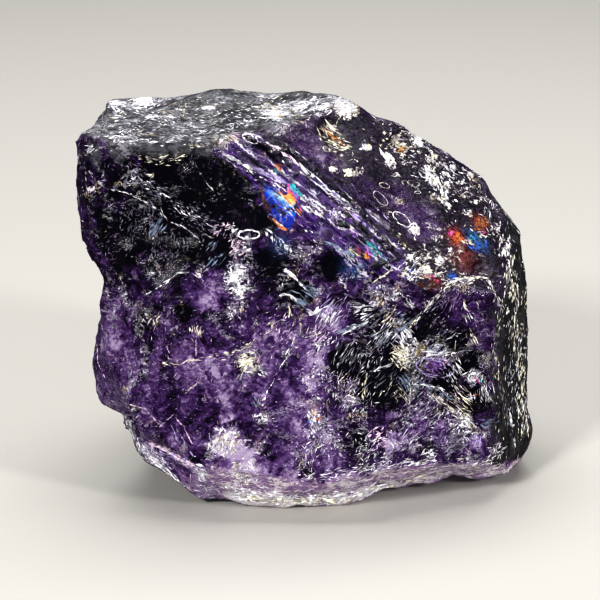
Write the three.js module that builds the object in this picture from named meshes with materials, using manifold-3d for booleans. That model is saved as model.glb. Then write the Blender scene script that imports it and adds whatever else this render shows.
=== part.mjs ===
// Rough amethyst: one broken chunk of deep violet quartz, about 60 mm wide, lying on a flat fracture.
// +X is to the right of the glassy front, +Y away from it and +Z up. All lengths are millimetres.
// The stone is what is left of space inside its fracture faces, less the hollows, ledges and pits in them.
import * as THREE from "three";
import { mergeVertices } from "three/addons/utils/BufferGeometryUtils.js";
import Module from "manifold-3d";

const HEART = new THREE.Vector3(0, -1, 24); // every surface point is seen from here
const ROWS_PER_SIDE = 20; // rows of triangles on each side of the starting icosahedron
const FARTHEST = 60; // no point of the stone lies further from its heart
const HALVINGS = 26; // of the search for the surface along each direction
const RIDGE_REACH = 0.6; // the most that a point moves onto a ridge, as a share of its edge

// The fracture faces: the way each one looks, and a point that it passes through.
const FACES = [
  { name: "top", facing: [-0.01, -0.04, 1], through: [-12, -9, 48.9] },
  { name: "sloping skin", facing: [0.411, -0.589, 0.697], through: [-8.3, -13, 48.6] },
  { name: "under ridge", facing: [0.026, -0.93, 0.3], through: [-8.3, -13, 48.6] },
  { name: "front", facing: [0, -0.99, 0.13], through: [0, -20.8, 6.5] },
  { name: "upper left front", facing: [-0.62, -0.76, 0.12], through: [-27.8, -10, 44] },
  { name: "left front", facing: [-0.26, -0.96, -0.04], through: [-14, -19.8, 20] },
  { name: "right front", facing: [0.4, -0.91, 0.05], through: [14, -18.4, 25] },
  { name: "lower left front", facing: [-0.85, -0.52, -0.1], through: [-21.8, -16.8, 15] },
  { name: "left", facing: [-0.94, 0.33, -0.08], through: [-27.8, -10, 40] },
  { name: "right strip", facing: [0.85, -0.5, 0.04], through: [24.7, -14.6, 20] },
  { name: "right", facing: [0.98, 0.12, 0.03], through: [30, -3, 20] },
  { name: "right shoulder", facing: [0.8, 0.1, 0.6], through: [25, -3.4, 38.5] },
  { name: "back slope", facing: [0.4, 0.5, 0.77], through: [15.5, -1.2, 45] },
  { name: "back top left", facing: [-0.1, 0.7, 0.7], through: [-12, 5, 49] },
  { name: "back", facing: [0.08, 0.98, -0.1], through: [0, 18.5, 20] },
  { name: "back left", facing: [-0.62, 0.76, 0.1], through: [-19, 12, 25] },
  { name: "back right", facing: [0.7, 0.68, 0.1], through: [23, 11.5, 20] },
  { name: "lower left bevel", facing: [-0.55, -0.35, -0.75], through: [-19.4, -13, 4.6] },
  { name: "lobe underside", facing: [-0.5, 0.1, -0.86], through: [-25.2, -5, 8.2] },
  { name: "front bevel", facing: [-0.12, -0.84, -0.52], through: [5, -17.9, 0] },
  { name: "right front bevel", facing: [0.2, -0.74, -0.64], through: [17.5, -18, 6.5] },
  { name: "right bevel", facing: [0.9, -0.1, -0.4], through: [30, -3, 3.2] },
  { name: "back bevel", facing: [0.05, 0.72, -0.7], through: [0, 15, 3] },
  { name: "back left bevel", facing: [-0.6, 0.5, -0.62], through: [-21, 8, 4] },
];

// Shell-shaped hollows: the point at the bottom of each one, the way it opens, its radius and its depth.
const HOLLOWS = [
  { name: "dark window", at: [-15.5, -14.6, 41], facing: [-0.25, -0.94, 0.15], radius: 11, depth: 1.8 },
  { name: "left notch", at: [-24.9, -8, 27], facing: [-0.98, -0.1, 0.12], radius: 5.5, depth: 1.9 },
  { name: "left window", at: [-19.8, -15.6, 29], facing: [-0.55, -0.83, 0], radius: 8, depth: 1.1 },
  { name: "ridge hollow", at: [2, -16.9, 27], facing: [0.1, -0.98, 0.1], radius: 10, depth: 1.2 },
  { name: "right window", at: [18.5, -15.2, 19], facing: [0.4, -0.91, 0], radius: 9, depth: 1.3 },
  { name: "low window", at: [-8, -19.4, 14], facing: [-0.1, -0.98, 0.1], radius: 9, depth: 1 },
  { name: "corner chip", at: [-17, -17.1, 8], facing: [-0.5, -0.8, -0.35], radius: 4.5, depth: 0.9 },
  { name: "back hollow", at: [6, 16.1, 26], facing: [0.1, 0.99, 0.1], radius: 14, depth: 2.4 },
  { name: "back left hollow", at: [-18, 9.5, 34], facing: [-0.55, 0.75, 0.3], radius: 9, depth: 1.6 },
  { name: "right hollow", at: [28.7, 3, 22], facing: [0.98, 0.1, 0.1], radius: 9, depth: 1.2 },
];

// Shallow bowls broken all over the faces, coarse and then fine, which meet in low ridges.
const BOWLS = [
  { spacing: 9.5, depth: 1 },
  { spacing: 4.4, depth: 0.35 },
];

// Flat ledges broken out along the ridge between the sloping skin and the front: the outline of each one
// on the skin, as lengths along the ridge and away from it, and its depth below the skin.
const RIDGE_TOP = new THREE.Vector3(-8.3, -13, 48.6);
const RIDGE_FOOT = new THREE.Vector3(11.9, -17.5, 32.9);
const LEDGES = [
  { name: "long ledge", outline: [[-2, -9], [27, -9], [25.5, 1], [9, 3.4], [-1, 2.6]], depth: 1.6 },
  { name: "wide ledge", outline: [[3, -9], [25, -9], [24.5, 0.6], [14, 6.2], [7, 5.8], [4.5, 1]], depth: 0.8 },
];

// Weathered pits, by their places on the skin and its shoulder, with their radii.
const PITS = [
  { name: "ringed pit", at: [4.6, -5.6, 47.9], radius: 1.9 },
  { name: "upper pit", at: [12, -5.5, 44.6], radius: 1.3 },
  { name: "middle pit", at: [17, -8.4, 38.6], radius: 1.5 },
  { name: "long pit", at: [20.2, -7.4, 38.2], radius: 1.7 },
  { name: "lower pit", at: [23.4, -11.4, 31.4], radius: 1.2 },
  { name: "corner pit", at: [27.2, -8.8, 27], radius: 1.3 },
  { name: "edge pit", at: [13.4, -2.6, 45.2], radius: 1.4 },
];

const unit = (v) => new THREE.Vector3(...v).normalize();
const point = (v) => new THREE.Vector3(...v);

// A repeatable number from 0 to 1 for a whole-numbered cell and a salt.
function chance(i, j, k, salt) {
  const wave = Math.sin(i * 127.1 + j * 311.7 + k * 74.7 + salt * 53.3) * 43758.5453;
  return wave - Math.floor(wave);
}

// How high p stands in its bowl: the bottoms of the bowls are scattered, one to a cell.
function heightInBowl(p, { spacing, depth }) {
  const home = [p.x, p.y, p.z].map((v) => Math.floor(v / spacing));
  let lowest = Infinity;
  for (let i = -1; i <= 1; i++) {
    for (let j = -1; j <= 1; j++) {
      for (let k = -1; k <= 1; k++) {
        const cell = [home[0] + i, home[1] + j, home[2] + k];
        const bottom = cell.map((v, axis) => (v + chance(...cell, axis)) * spacing);
        const away = Math.hypot(p.x - bottom[0], p.y - bottom[1], p.z - bottom[2]) / spacing;
        lowest = Math.min(lowest, away * away + 0.3 * chance(...cell, 3));
      }
    }
  }
  return depth * (lowest - 0.45);
}

// A flat surface: how high a place stands above it and the bowls in it.
function plane({ name, facing, through }) {
  const n = unit(facing);
  const reach = n.dot(point(through));
  return { name, height: (p, bowls) => n.dot(p) - reach - bowls, slope: () => n };
}

// A hollow surface, part of a ball that lies outside the stone.
function hollow({ name, at, facing, radius, depth }) {
  const ball = (radius * radius + depth * depth) / (2 * depth);
  const centre = point(at).addScaledVector(unit(facing), ball);
  return {
    name,
    height: (p, bowls) => ball - centre.distanceTo(p) - 0.6 * bowls,
    slope: (p) => centre.clone().sub(p).normalize(),
  };
}

// The face that the stone lies on is truly flat.
const RESTING_FACE = {
  name: "resting face",
  height: (p) => -p.z,
  slope: () => new THREE.Vector3(0, 0, -1),
};

const surfaces = [...FACES.map(plane), ...HOLLOWS.map(hollow), RESTING_FACE];

const bowlsAt = (p) => BOWLS.reduce((sum, size) => sum + heightInBowl(p, size), 0);

// The surface that bounds the stone at p, and the height of p above it.
function boundary(p) {
  const bowls = bowlsAt(p);
  let highest = { height: -Infinity, surface: null };
  for (const surface of surfaces) {
    const height = surface.height(p, bowls);
    if (height > highest.height) highest = { height, surface };
  }
  return highest;
}

// The point where the stone ends in one direction from its heart.
function surfacePoint(direction) {
  let inside = 0;
  let outside = FARTHEST;
  const p = new THREE.Vector3();
  for (let n = 0; n < HALVINGS; n++) {
    const middle = (inside + outside) / 2;
    p.copy(HEART).addScaledVector(direction, middle);
    if (boundary(p).height > 0) outside = middle;
    else inside = middle;
  }
  return p.copy(HEART).addScaledVector(direction, inside);
}

// The point near p where two surfaces meet, by Newton's steps of the least length.
function meetingPoint(p, one, other) {
  const q = p.clone();
  for (let step = 0; step < 5; step++) {
    const bowls = bowlsAt(q);
    const a = one.slope(q);
    const b = other.slope(q);
    const cosine = a.dot(b);
    const spread = Math.max(1 - cosine * cosine, 0.01);
    const ha = one.height(q, bowls);
    const hb = other.height(q, bowls);
    q.addScaledVector(a, -(ha - cosine * hb) / spread);
    q.addScaledVector(b, -(hb - cosine * ha) / spread);
  }
  return q;
}

// Slides points that lie near a ridge onto it, so that faces meet in clean lines.
function sharpenRidges(points, triangles) {
  const owners = points.map((p) => boundary(p).surface);
  const moves = new Map();
  for (let t = 0; t < triangles.length; t += 3) {
    for (let side = 0; side < 3; side++) {
      const [a, b] = [triangles[t + side], triangles[t + ((side + 1) % 3)]];
      if (owners[a] === owners[b]) continue;
      const middle = points[a].clone().lerp(points[b], 0.5);
      const ridge = meetingPoint(middle, owners[a], owners[b]);
      const near = ridge.distanceTo(points[a]) < ridge.distanceTo(points[b]) ? a : b;
      const travel = ridge.distanceTo(points[near]);
      const most = RIDGE_REACH * points[a].distanceTo(points[b]);
      if (travel < Math.min(most, moves.get(near)?.travel ?? Infinity)) {
        moves.set(near, { travel, ridge });
      }
    }
  }
  for (const [v, { ridge }] of moves) points[v].copy(ridge);
}

function brokenStone() {
  const ball = new THREE.IcosahedronGeometry(1, ROWS_PER_SIDE - 1);
  ball.deleteAttribute("normal");
  ball.deleteAttribute("uv");
  const stone = mergeVertices(ball, 1e-5);
  const positions = stone.getAttribute("position");
  const points = Array.from({ length: positions.count }, (_, v) =>
    surfacePoint(new THREE.Vector3().fromBufferAttribute(positions, v).normalize()),
  );
  sharpenRidges(points, stone.index.array);
  points.forEach((p, v) => positions.setXYZ(v, p.x, p.y, p.z));
  return stone;
}

// The space above one ledge: its outline on the skin, from its depth to well clear of the stone.
function ledgeSpace({ outline, depth }) {
  const clearance = 8;
  const skin = unit(FACES.find((face) => face.name === "sloping skin").facing);
  const along = RIDGE_FOOT.clone().sub(RIDGE_TOP).normalize();
  const away = skin.clone().cross(along);
  const shape = new THREE.Shape(outline.map(([s, w]) => new THREE.Vector2(s, w)));
  const space = new THREE.ExtrudeGeometry(shape, { depth: depth + clearance, bevelEnabled: false });
  space.translate(0, 0, -depth);
  return space.applyMatrix4(new THREE.Matrix4().makeBasis(along, away, skin).setPosition(RIDGE_TOP));
}

function pitSpace({ at, radius }) {
  return new THREE.IcosahedronGeometry(radius, 1).scale(1.25, 1, 0.8).translate(...at);
}

const wasm = await Module();
wasm.setup();

function solid(geometry) {
  const bare = geometry.index ? geometry.toNonIndexed() : geometry;
  const corners = new THREE.BufferGeometry().setAttribute("position", bare.getAttribute("position"));
  const merged = mergeVertices(corners, 1e-4);
  return new wasm.Manifold(
    new wasm.Mesh({
      numProp: 3,
      vertProperties: merged.getAttribute("position").array,
      triVerts: new Uint32Array(merged.index.array),
    }),
  );
}

function geometryOf(made) {
  const mesh = made.getMesh();
  return new THREE.BufferGeometry()
    .setAttribute("position", new THREE.BufferAttribute(mesh.vertProperties, 3))
    .setIndex(new THREE.BufferAttribute(mesh.triVerts, 1));
}

// The stone with its ledges and pits cut, moved so that the middle of its bottom is the origin.
function amethystGeometry() {
  const spaces = [...LEDGES.map(ledgeSpace), ...PITS.map(pitSpace)].map(solid);
  const stone = geometryOf(wasm.Manifold.difference([solid(brokenStone()), ...spaces]));
  stone.computeBoundingBox();
  const middle = stone.boundingBox.getCenter(new THREE.Vector3());
  return stone.translate(-middle.x, -middle.y, -stone.boundingBox.min.z);
}

const amethyst = new THREE.Mesh(
  amethystGeometry(),
  new THREE.MeshStandardMaterial({ color: 0x2c1446, roughness: 0.3, metalness: 0 }),
);
amethyst.name = "amethyst";

const root = new THREE.Group();
root.add(amethyst);
export default root;
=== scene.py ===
"""The looks of a rough amethyst: one broken chunk of deep violet quartz on a pale floor.

The stone's solid gives the form. This script lays a finer broken surface on it, marks where the
quartz is clear, veiled, crushed or weathered, and gives it its colours.
"""

import logging
import math
import random
from dataclasses import dataclass, field
from enum import Enum

import bmesh
import bpy
import numpy as np
from mathutils import Matrix, Vector, noise
from mathutils.bvhtree import BVHTree


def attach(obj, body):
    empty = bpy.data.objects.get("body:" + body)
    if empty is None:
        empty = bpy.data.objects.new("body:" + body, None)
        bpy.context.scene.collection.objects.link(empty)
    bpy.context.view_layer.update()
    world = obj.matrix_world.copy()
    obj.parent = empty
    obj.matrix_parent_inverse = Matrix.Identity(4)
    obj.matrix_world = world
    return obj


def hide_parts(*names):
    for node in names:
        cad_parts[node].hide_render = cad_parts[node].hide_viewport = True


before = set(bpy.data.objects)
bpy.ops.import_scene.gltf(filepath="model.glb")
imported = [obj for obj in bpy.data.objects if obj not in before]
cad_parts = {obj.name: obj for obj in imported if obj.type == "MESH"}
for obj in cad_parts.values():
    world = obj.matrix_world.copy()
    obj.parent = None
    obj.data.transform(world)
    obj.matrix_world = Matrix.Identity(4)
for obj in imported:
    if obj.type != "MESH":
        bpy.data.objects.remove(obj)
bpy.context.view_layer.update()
LOG = logging.getLogger("amethyst")

MM = 0.001
STONE = "amethyst"
STONE_MIDDLE = (0, 0, 0.025)
RIDGE_ALONG = (0.777, -0.173, -0.604)
RIDGE_ACROSS = (0.476, 0.79, 0.387)
FILLED_PIT = (25.4, -8.0, 27.0)
FILLED_PIT_REACH = 2.7
NOISE_SEED = 8
DICE_SEED = 11

Colour = tuple[float, float, float, float]
Place = tuple[float, float, float]
Spot = tuple[float, float]


class Mark(Enum):
    """What the surface shows at a place; each mark is an attribute of the stone's mesh."""

    PALE = "pale"
    FLECK = "fleck"
    WARM = "warm"
    FROST = "frost"
    SKIN = "skin"
    STRIP = "strip"
    MILK = "milk"
    CRUMB = "crumb"
    LEDGE = "ledge"
    RAINBOW = "rainbow"
    # EMBER and AZURE are painted glints: orange and blue highlights painted into the colour.
    EMBER = "ember"
    AZURE = "azure"


@dataclass(frozen=True)
class FractureFace:
    """One of the stone's large faces, as the solid has it.

    Attributes:
        name: What the face is called.
        facing: The way it looks.
        through: A point that it passes through, in millimetres.
        marks: The marks that cover it, and how strongly.
    """

    name: str
    facing: Place
    through: Place
    marks: dict[Mark, float] = field(default_factory=dict)

    def height(self, points: np.ndarray) -> np.ndarray:
        """Gives how far above the face each of the points lies, in millimetres."""
        normal = np.array(self.facing) / np.linalg.norm(self.facing)
        return (points - np.array(self.through)) @ normal


CRUST = {Mark.FROST: 1.0, Mark.FLECK: 0.12, Mark.PALE: 0.35}
PITTED = {Mark.SKIN: 1.0, Mark.FLECK: -0.26, Mark.PALE: 0.2, Mark.WARM: 0.35}
SIDE = {Mark.STRIP: 1.0, Mark.FLECK: 0.08, Mark.WARM: 0.8}
MILKY = {Mark.MILK: 1.0, Mark.FLECK: 0.04, Mark.PALE: 0.6}

FACES = [
    FractureFace("top", (-0.01, -0.04, 1), (-13, -8.5, 48.9), CRUST),
    FractureFace("sloping skin", (0.411, -0.589, 0.697), (-9.6, -12.5, 48.6), PITTED),
    FractureFace("under ridge", (0.026, -0.93, 0.3), (-9.6, -12.5, 48.6)),
    FractureFace("front", (0, -0.99, 0.13), (-1.3, -20.3, 6.5)),
    FractureFace("upper left front", (-0.62, -0.76, 0.12), (-29.1, -9.5, 44)),
    FractureFace("left front", (-0.26, -0.96, -0.04), (-15.3, -19.3, 20)),
    FractureFace("right front", (0.4, -0.91, 0.05), (12.7, -17.9, 25)),
    FractureFace("lower left front", (-0.85, -0.52, -0.1), (-23.1, -16.3, 15), {Mark.PALE: 0.1}),
    FractureFace("left", (-0.94, 0.33, -0.08), (-29.1, -9.5, 40)),
    FractureFace("right strip", (0.85, -0.5, 0.04), (23.4, -14.1, 20), SIDE),
    FractureFace("right", (0.98, 0.12, 0.03), (28.7, -2.5, 20), SIDE),
    FractureFace("right shoulder", (0.8, 0.1, 0.6), (23.7, -2.9, 38.5), SIDE),
    FractureFace("back slope", (0.4, 0.5, 0.77), (14.2, -0.7, 45), CRUST),
    FractureFace("back top left", (-0.1, 0.7, 0.7), (-13.3, 5.5, 49), {Mark.FROST: 0.5}),
    FractureFace("back", (0.08, 0.98, -0.1), (-1.3, 19, 20)),
    FractureFace("back left", (-0.62, 0.76, 0.1), (-20.3, 12.5, 25)),
    FractureFace("back right", (0.7, 0.68, 0.1), (21.7, 12, 20), PITTED),
    FractureFace("lower left bevel", (-0.55, -0.35, -0.75), (-20.7, -12.5, 4.6), {Mark.MILK: 0.2}),
    FractureFace("lobe underside", (-0.5, 0.1, -0.86), (-26.5, -4.5, 8.2), {Mark.MILK: 0.4}),
    FractureFace("front bevel", (-0.12, -0.84, -0.52), (3.7, -17.4, 0), MILKY),
    FractureFace("right front bevel", (0.2, -0.74, -0.64), (16.2, -17.5, 6.5), MILKY),
    FractureFace("right bevel", (0.9, -0.1, -0.4), (28.7, -2.5, 3.2), {Mark.MILK: 0.35}),
    FractureFace("back bevel", (0.05, 0.72, -0.7), (-1.3, 15.5, 3), {Mark.MILK: 0.3}),
    FractureFace("back left bevel", (-0.6, 0.5, -0.62), (-22.3, 8.5, 4), {Mark.MILK: 0.3}),
    FractureFace("resting face", (0, 0, -1), (0, 0, 0), {Mark.MILK: 0.6}),
]


@dataclass(frozen=True)
class Push:
    """A place where the broken outline stands out further than the solid's, or lies back.

    Attributes:
        across: How far right of the picture's middle it is, in millimetres.
        up: How far above the picture's middle it is.
        right: How far it moves to the right.
        rise: How far it moves upwards.
        radius: How far the move reaches.
    """

    across: float
    up: float
    right: float
    rise: float
    radius: float


def pushes() -> list[Push]:
    """Lists where the outline as the camera sees it departs from the plain faces.

    Returns:
        The pushes.
    """
    moves = [
        (-27.6, 24.6, 0.55, -0.6, 2.2), (-29.2, 23.2, 0.25, -0.3, 1.6), (3.9, 26.9, 0, 1.1, 3.2),
        (7, 26, 0.2, 0.4, 1.5), (13.2, 23.4, 0.2, 0.45, 2.2), (24.4, 15.7, 0.35, 0.25, 1.6),
        (29.2, 9.6, -0.5, -0.1, 1.7), (29.8, 7.2, -0.95, 0, 2.8), (29.9, 3.5, -0.35, 0, 2.5),
        (30, -18.8, 1.15, -0.35, 3.6), (26.4, -24.2, -0.1, 1.1, 2.4), (20.4, -25.2, 0, 1.6, 3),
        (15.5, -25.6, 0, 1, 2.6), (11.4, -26.1, 0, 1, 1.9), (6, -27.2, 0.1, -0.6, 1.8),
        (0, -27.9, 0, 0.5, 1.6), (-10.5, -27.2, 0, 0.75, 2.6), (-24.8, -17.8, 2.2, 1.3, 2.7),
        (-24.9, -15.5, 0.6, -0.1, 1.3), (-22.8, -20.2, 0.4, 0.5, 2), (-26.6, -13, -0.7, -0.3, 1.9),
        (-26.8, -9.2, -1.1, 0, 2.6), (-27.8, -3.4, 1.15, 0, 2.7), (-27.5, 2.4, 0.95, 0, 2.4),
        (-28.4, 5.6, 0.35, 0, 1.8), (-30.2, 18.3, 0.45, 0, 3.4), (-25.1, -16.2, 2.6, 0.2, 1.9),
        (-24.2, -17.9, 0.8, 0.5, 1.3), (29.5, 9.2, -0.9, -0.4, 1.4), (29.9, 7.4, -0.35, 0, 1.2),
        (26.5, -23.6, -0.1, 0.5, 1.3), (16, -24.7, 0, 0.3, 1.5), (11.4, -25.5, 0, 0.5, 1.2),
        (6.4, -27.1, 0, -0.6, 1.4), (-11, 27.7, 0, 0.35, 2.5), (-25.7, 25.6, -0.3, 0.3, 1.4),
        (0, 27.3, 0, 0.45, 2), (-26.4, 3.6, -0.4, 0, 1.2), (20, 19, 0.2, 0.25, 2),
    ]
    return [Push(*move) for move in moves]


@dataclass(frozen=True)
class Patch:
    """A ragged patch that adds to one mark, placed as the camera sees it.

    Attributes:
        mark: What the patch holds more of, or less where the amount is negative.
        across: How far right of the picture's middle it is, in millimetres.
        up: How far above the picture's middle it is.
        radius: How far it reaches.
        amount: How much it adds in the middle.
    """

    mark: Mark
    across: float
    up: float
    radius: float
    amount: float


def zones() -> list[Patch]:
    """Lists the wide parts of the front: black above and to the right, violet below.

    Returns:
        The patches.
    """
    tones = [
        (-17, 11, 9, -0.34), (-7, 6, 7, -0.2), (-14, -10, 10, 0.06), (12, -6, 8, -0.21),
        (20, -10, 6, -0.14), (0, -19, 8, 0.16), (-3, -11, 7, 0.1), (-27, 6, 5, -0.1), (-14, -9, 8, 0.05),
        (-27, 16, 5, -0.22), (11.6, 2.6, 1.5, 0.2), (8.5, 12.5, 4, -0.15),
    ]
    crushed = [
        (-14, -11, 10, -0.12), (12, -8, 9, 0.08), (20, -12, 7, 0.08), (0, -19, 8, 0.06),
        (-17, 10, 11, -0.16), (-26, -8, 4, -0.3), (12.5, 21.5, 3.2, 0.12), (16.5, 19, 3.2, 0.1),
        (20.5, 15.5, 3.2, 0.1), (23.5, 12.5, 3.2, 0.12), (26, 8.5, 3.2, 0.15), (4, 17, 2.5, 0.1),
    ]
    milk = [(-14.5, -25.5, 5, -0.6), (-19, -22, 4, -0.4)]
    rim = [(-9, -26.2), (-5.6, -26.9), (-2, -27.2), (1.5, -27.2), (5, -26.9), (8.4, -25.8), (11.4, -24.8)]
    milk += [(*place, 1.8, 0.7) for place in rim]
    edge = [(-27.5, 19.6), (-24.8, 20.2), (-22, 20.6), (-19, 20.4), (-16, 20.5), (-13, 20.8), (-10.5, 21.6)]
    frost = [(*place, 1.5, 0.8) for place in edge]
    spilt = [(*place, 1.8, 0.15) for place in edge]
    foot = [(29, -23, 2, 0.7), (27, -22.8, 2.2, 0.8)]
    turned = [(29, -23.2, 2, -1), (27.2, -22.4, 1.8, -1)]
    violet = [
        (9, 14, 3, -0.35), (0.5, 21.5, 2.6, -0.45), (3.6, 17.8, 2.4, -0.4), (16, 10.5, 3.4, -0.45),
        (12.5, 14, 2.4, -0.3),
    ]
    lists = {
        Mark.PALE: tones, Mark.FLECK: crushed + spilt, Mark.MILK: milk + foot,
        Mark.FROST: frost, Mark.STRIP: turned, Mark.SKIN: violet,
    }
    return [Patch(mark, *place) for mark, places in lists.items() for place in places]


def windows() -> list[Patch]:
    """Lists the places where the quartz is clear and looks black.

    Returns:
        The patches.
    """
    places = [
        (-16.5, 15.3, 5.2), (-23.9, 8.2, 3.5), (-15.3, 7.6, 2.2), (-5, 10.4, 1.8), (4.2, 4.6, 2),
        (-3.4, 5, 1.5), (-15.4, -1.7, 1.2), (-0.1, 0.9, 1.8), (11.3, -11.3, 3.2), (6.5, -8.1, 2.2),
        (20.8, -5.4, 1.7), (16.6, -4.4, 1.2), (19.1, -11.2, 1.8), (22.2, -8.5, 1.7), (23.2, -13.9, 1.9),
        (-8.5, 15.5, 3),
    ]
    dark = [Patch(Mark.PALE, *place, -0.75) for place in places]
    bare = [Patch(Mark.FLECK, *place, -0.32) for place in places]
    return dark + bare


def veils() -> list[Patch]:
    """Lists the places where fine fractures make the quartz pale.

    Returns:
        The patches.
    """
    places = [
        (-11.6, 2, 2, 0.3), (-12.6, -10, 3.4, 0.15), (4, -4.6, 4.2, 0.2), (2, -6.6, 2.6, 0.15),
        (-9.6, -18.6, 2.8, 0.35), (-6.9, -23.4, 2.6, 0.4), (12.4, -19.3, 1.8, 0.25), (0, -19, 3, 0.15),
        (-8.6, -21.2, 2.4, 0.3), (-10.2, -19.6, 1.9, 0.35), (-13.4, -22.8, 1.2, 0.4),
        (-23.9, -1.3, 2.8, 0.15), (-20.2, -20.4, 2, 0.3), (-15.9, -23.2, 2, -0.3), (-1, -4.4, 2.6, 0.15),
        (17.9, -9, 1.7, 0.45), (23.5, -18.8, 1, 0.5), (16.5, -7.9, 0.9, 0.2), (4.6, -2.2, 2.4, 0.15),
        (-15.2, -19, 2.4, 0.3), (-20.5, -17, 2.6, 0.12), (6.8, -18.8, 2.2, -0.25), (-12.2, -0.6, 1.3, 0.3),
        (-26.5, -8, 4, 0.12),
    ]
    return [Patch(Mark.PALE, *place) for place in places]


def bursts() -> list[Patch]:
    """Lists the places where the quartz is crushed to white.

    Returns:
        The patches.
    """
    places = [
        (-6.6, -8.5, 1.7, 0.5), (-8.2, 2.3, 2.3, 0.4), (-19.7, -2.1, 1.3, 0.4), (-5.2, -15.9, 1, 0.5),
        (-9.6, -18.6, 2.4, 0.35), (-6.9, -23.4, 2.2, 0.4), (14.2, -7.6, 1.6, 0.4), (23, -10.2, 1.3, 0.4),
        (-13.2, -23, 1, 0.5), (-10.4, -19.4, 1.6, 0.3), (-22.4, -19.2, 1.3, 0.4), (-19.8, -21.8, 1.2, 0.35),
        (16, 4, 1.6, 0.4), (18.5, 5.2, 1, 0.4), (2.3, -15.9, 1.5, 0.4), (5.6, -12.6, 1.8, 0.3),
        (22.2, -16.2, 1, 0.5), (26.4, -19.9, 1.7, 0.4), (-21.2, 15.1, 2.8, 0.25), (-14.3, 10.8, 2, 0.3),
        (-8, 7.3, 2, 0.3), (-19.9, 26.5, 3, 0.5), (-3, 25, 3, 0.8), (6, 26.1, 2.4, 0.8),
    ]
    return [Patch(Mark.FLECK, *place) for place in places]


def crumbs() -> list[Patch]:
    """Lists the lumps of white and cream crust on the top, the shoulder and the ridge's foot.

    Returns:
        The patches.
    """
    places = [
        (15.7, 21.1, 0.7), (11.8, 18.7, 0.7), (12.3, 17.9, 0.5), (9, 20.3, 0.6), (17.2, 17.3, 0.9),
        (18, 16, 0.7), (19, 13.4, 0.6), (20.4, 17.7, 0.5), (17.4, 18.9, 0.3), (18.5, 5.2, 0.7),
        (15.2, 9.4, 0.8), (6.8, 17.1, 0.8), (-3.3, 24.6, 1.9), (0.3, 25.9, 1.4), (3.2, 25.8, 1.3),
        (6, 24.7, 1.1), (16.9, 3.9, 0.6), (14.6, 5.6, 0.6), (13, 16.6, 0.4), (22.6, 16.6, 0.6),
        (-24.2, 26.2, 1.2), (-20.8, 26.4, 1.5), (-19.7, 24.3, 1.2), (-12, 25.5, 0.8), (19.6, 12.4, 0.5),
        (21.5, 15.5, 0.3), (23.4, 13, 0.3), (10.8, 22.6, 0.4), (13.6, 20.6, 0.4),
    ]
    return [Patch(Mark.CRUMB, *place, 1.0) for place in places]


def ridge_colours() -> list[Patch]:
    """Lists the ledges along the ridge, the thin-film colours among them and the painted orange and blue
    glints.

    Returns:
        The patches.
    """
    ledges = [(-6.5, 19, 3.5), (-2, 15.5, 4), (3, 12, 4.2), (8, 8, 4.2), (11.5, 5, 3)]
    films = [
        (-3.6, 11.6, 1, 1), (-2.5, 11.7, 1.5, 1), (-1.4, 13.1, 1.2, 1), (-3.8, 13.8, 1.3, 0.5),
        (-0.7, 14.5, 1.1, 0.8), (-2, 10, 0.9, 0.9), (-3, 17.6, 0.9, 0.5), (9.4, 6.6, 1.3, 0.45),
        (7.4, 6.4, 1, 0.5),
    ]
    # Painted glints, orange and blue.
    orange_glints = [(20.8, 8.4, 1.2, 0.8), (21.9, 5.6, 2, 0.25), (23.9, 10.4, 1.1, 0.5), (18.2, 2.4, 1, 0.25)]
    blue_glints = [
        (22.6, 8.8, 1, 0.5), (23.9, 7.3, 1.2, 0.6), (20.2, 3.1, 0.7, 0.6), (7.2, 4.2, 1.5, 0.5),
        (9.8, 6.8, 1.3, 0.4), (-2.6, 7.4, 1.2, 0.4),
    ]
    lists = {Mark.RAINBOW: films, Mark.EMBER: orange_glints, Mark.AZURE: blue_glints}
    colours = [Patch(mark, *place) for mark, places in lists.items() for place in places]
    return [Patch(Mark.LEDGE, *place, 1) for place in ledges] + colours


class Tint(Enum):
    """The colours of crushed quartz, and of painted rainbow glints: AZURE, TEAL, EMBER and ROSE."""

    WHITE = (0.97, 0.95, 1.0)
    CREAM = (0.97, 0.9, 0.72)
    OCHRE = (0.5, 0.24, 0.07)
    STEEL = (0.22, 0.27, 0.38)
    LILAC = (0.5, 0.4, 0.72)
    PINK = (0.9, 0.68, 0.85)
    VIOLET = (0.28, 0.13, 0.45)
    # Painted glints: the next four tints are rainbow highlights.
    AZURE = (0.02, 0.16, 0.8)
    TEAL = (0.04, 0.5, 0.46)
    EMBER = (0.8, 0.22, 0.03)
    ROSE = (0.75, 0.08, 0.35)
    RUST = (0.06, 0.01, 0.008)
    ASH = (0.2, 0.18, 0.25)
    MAUVE = (0.3, 0.2, 0.36)
    INK = (0.01, 0.005, 0.02)


class Habit(Enum):
    """How the splinters of a fracture lie."""

    SEAM = "end to end along its course"
    COMB = "across its course"
    CROWD = "round its course's only point"
    RING = "in a ring round its course's only point"
    STRANDS = "side by side round its course's only point"


@dataclass(frozen=True)
class Fracture:
    """A fracture that shows as bright splinters, placed as the camera sees it, in millimetres.

    Attributes:
        habit: How its splinters lie.
        tint: Their colour.
        course: The points that it passes, each by how far right of and above the picture's middle it is.
        width: How wide a splinter is.
        length: How long a splinter is.
        spread: How far splinters stray from the course, or the crowd's or the ring's radius.
        lean: The turn of a crowd, a ring or a comb's teeth from level, in degrees.
        dense: How many splinters there are for each millimetre of the course, or in the crowd or ring.
    """

    habit: Habit
    tint: Tint
    course: tuple[Spot, ...]
    width: float = 0.14
    length: float = 0.7
    spread: float = 0.15
    lean: float = 0.0
    dense: float = 3.0


WHITE, CREAM, OCHRE, STEEL, LILAC, PINK, VIOLET, AZURE, TEAL, EMBER, ROSE, RUST, ASH, MAUVE, INK = Tint


def seam(tint: Tint, width: float, spread: float, dense: float, *course: Spot) -> Fracture:
    """Gives a fracture whose splinters lie end to end."""
    return Fracture(Habit.SEAM, tint, course, width, 0.5 + width * 2.2, spread, dense=dense)


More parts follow.
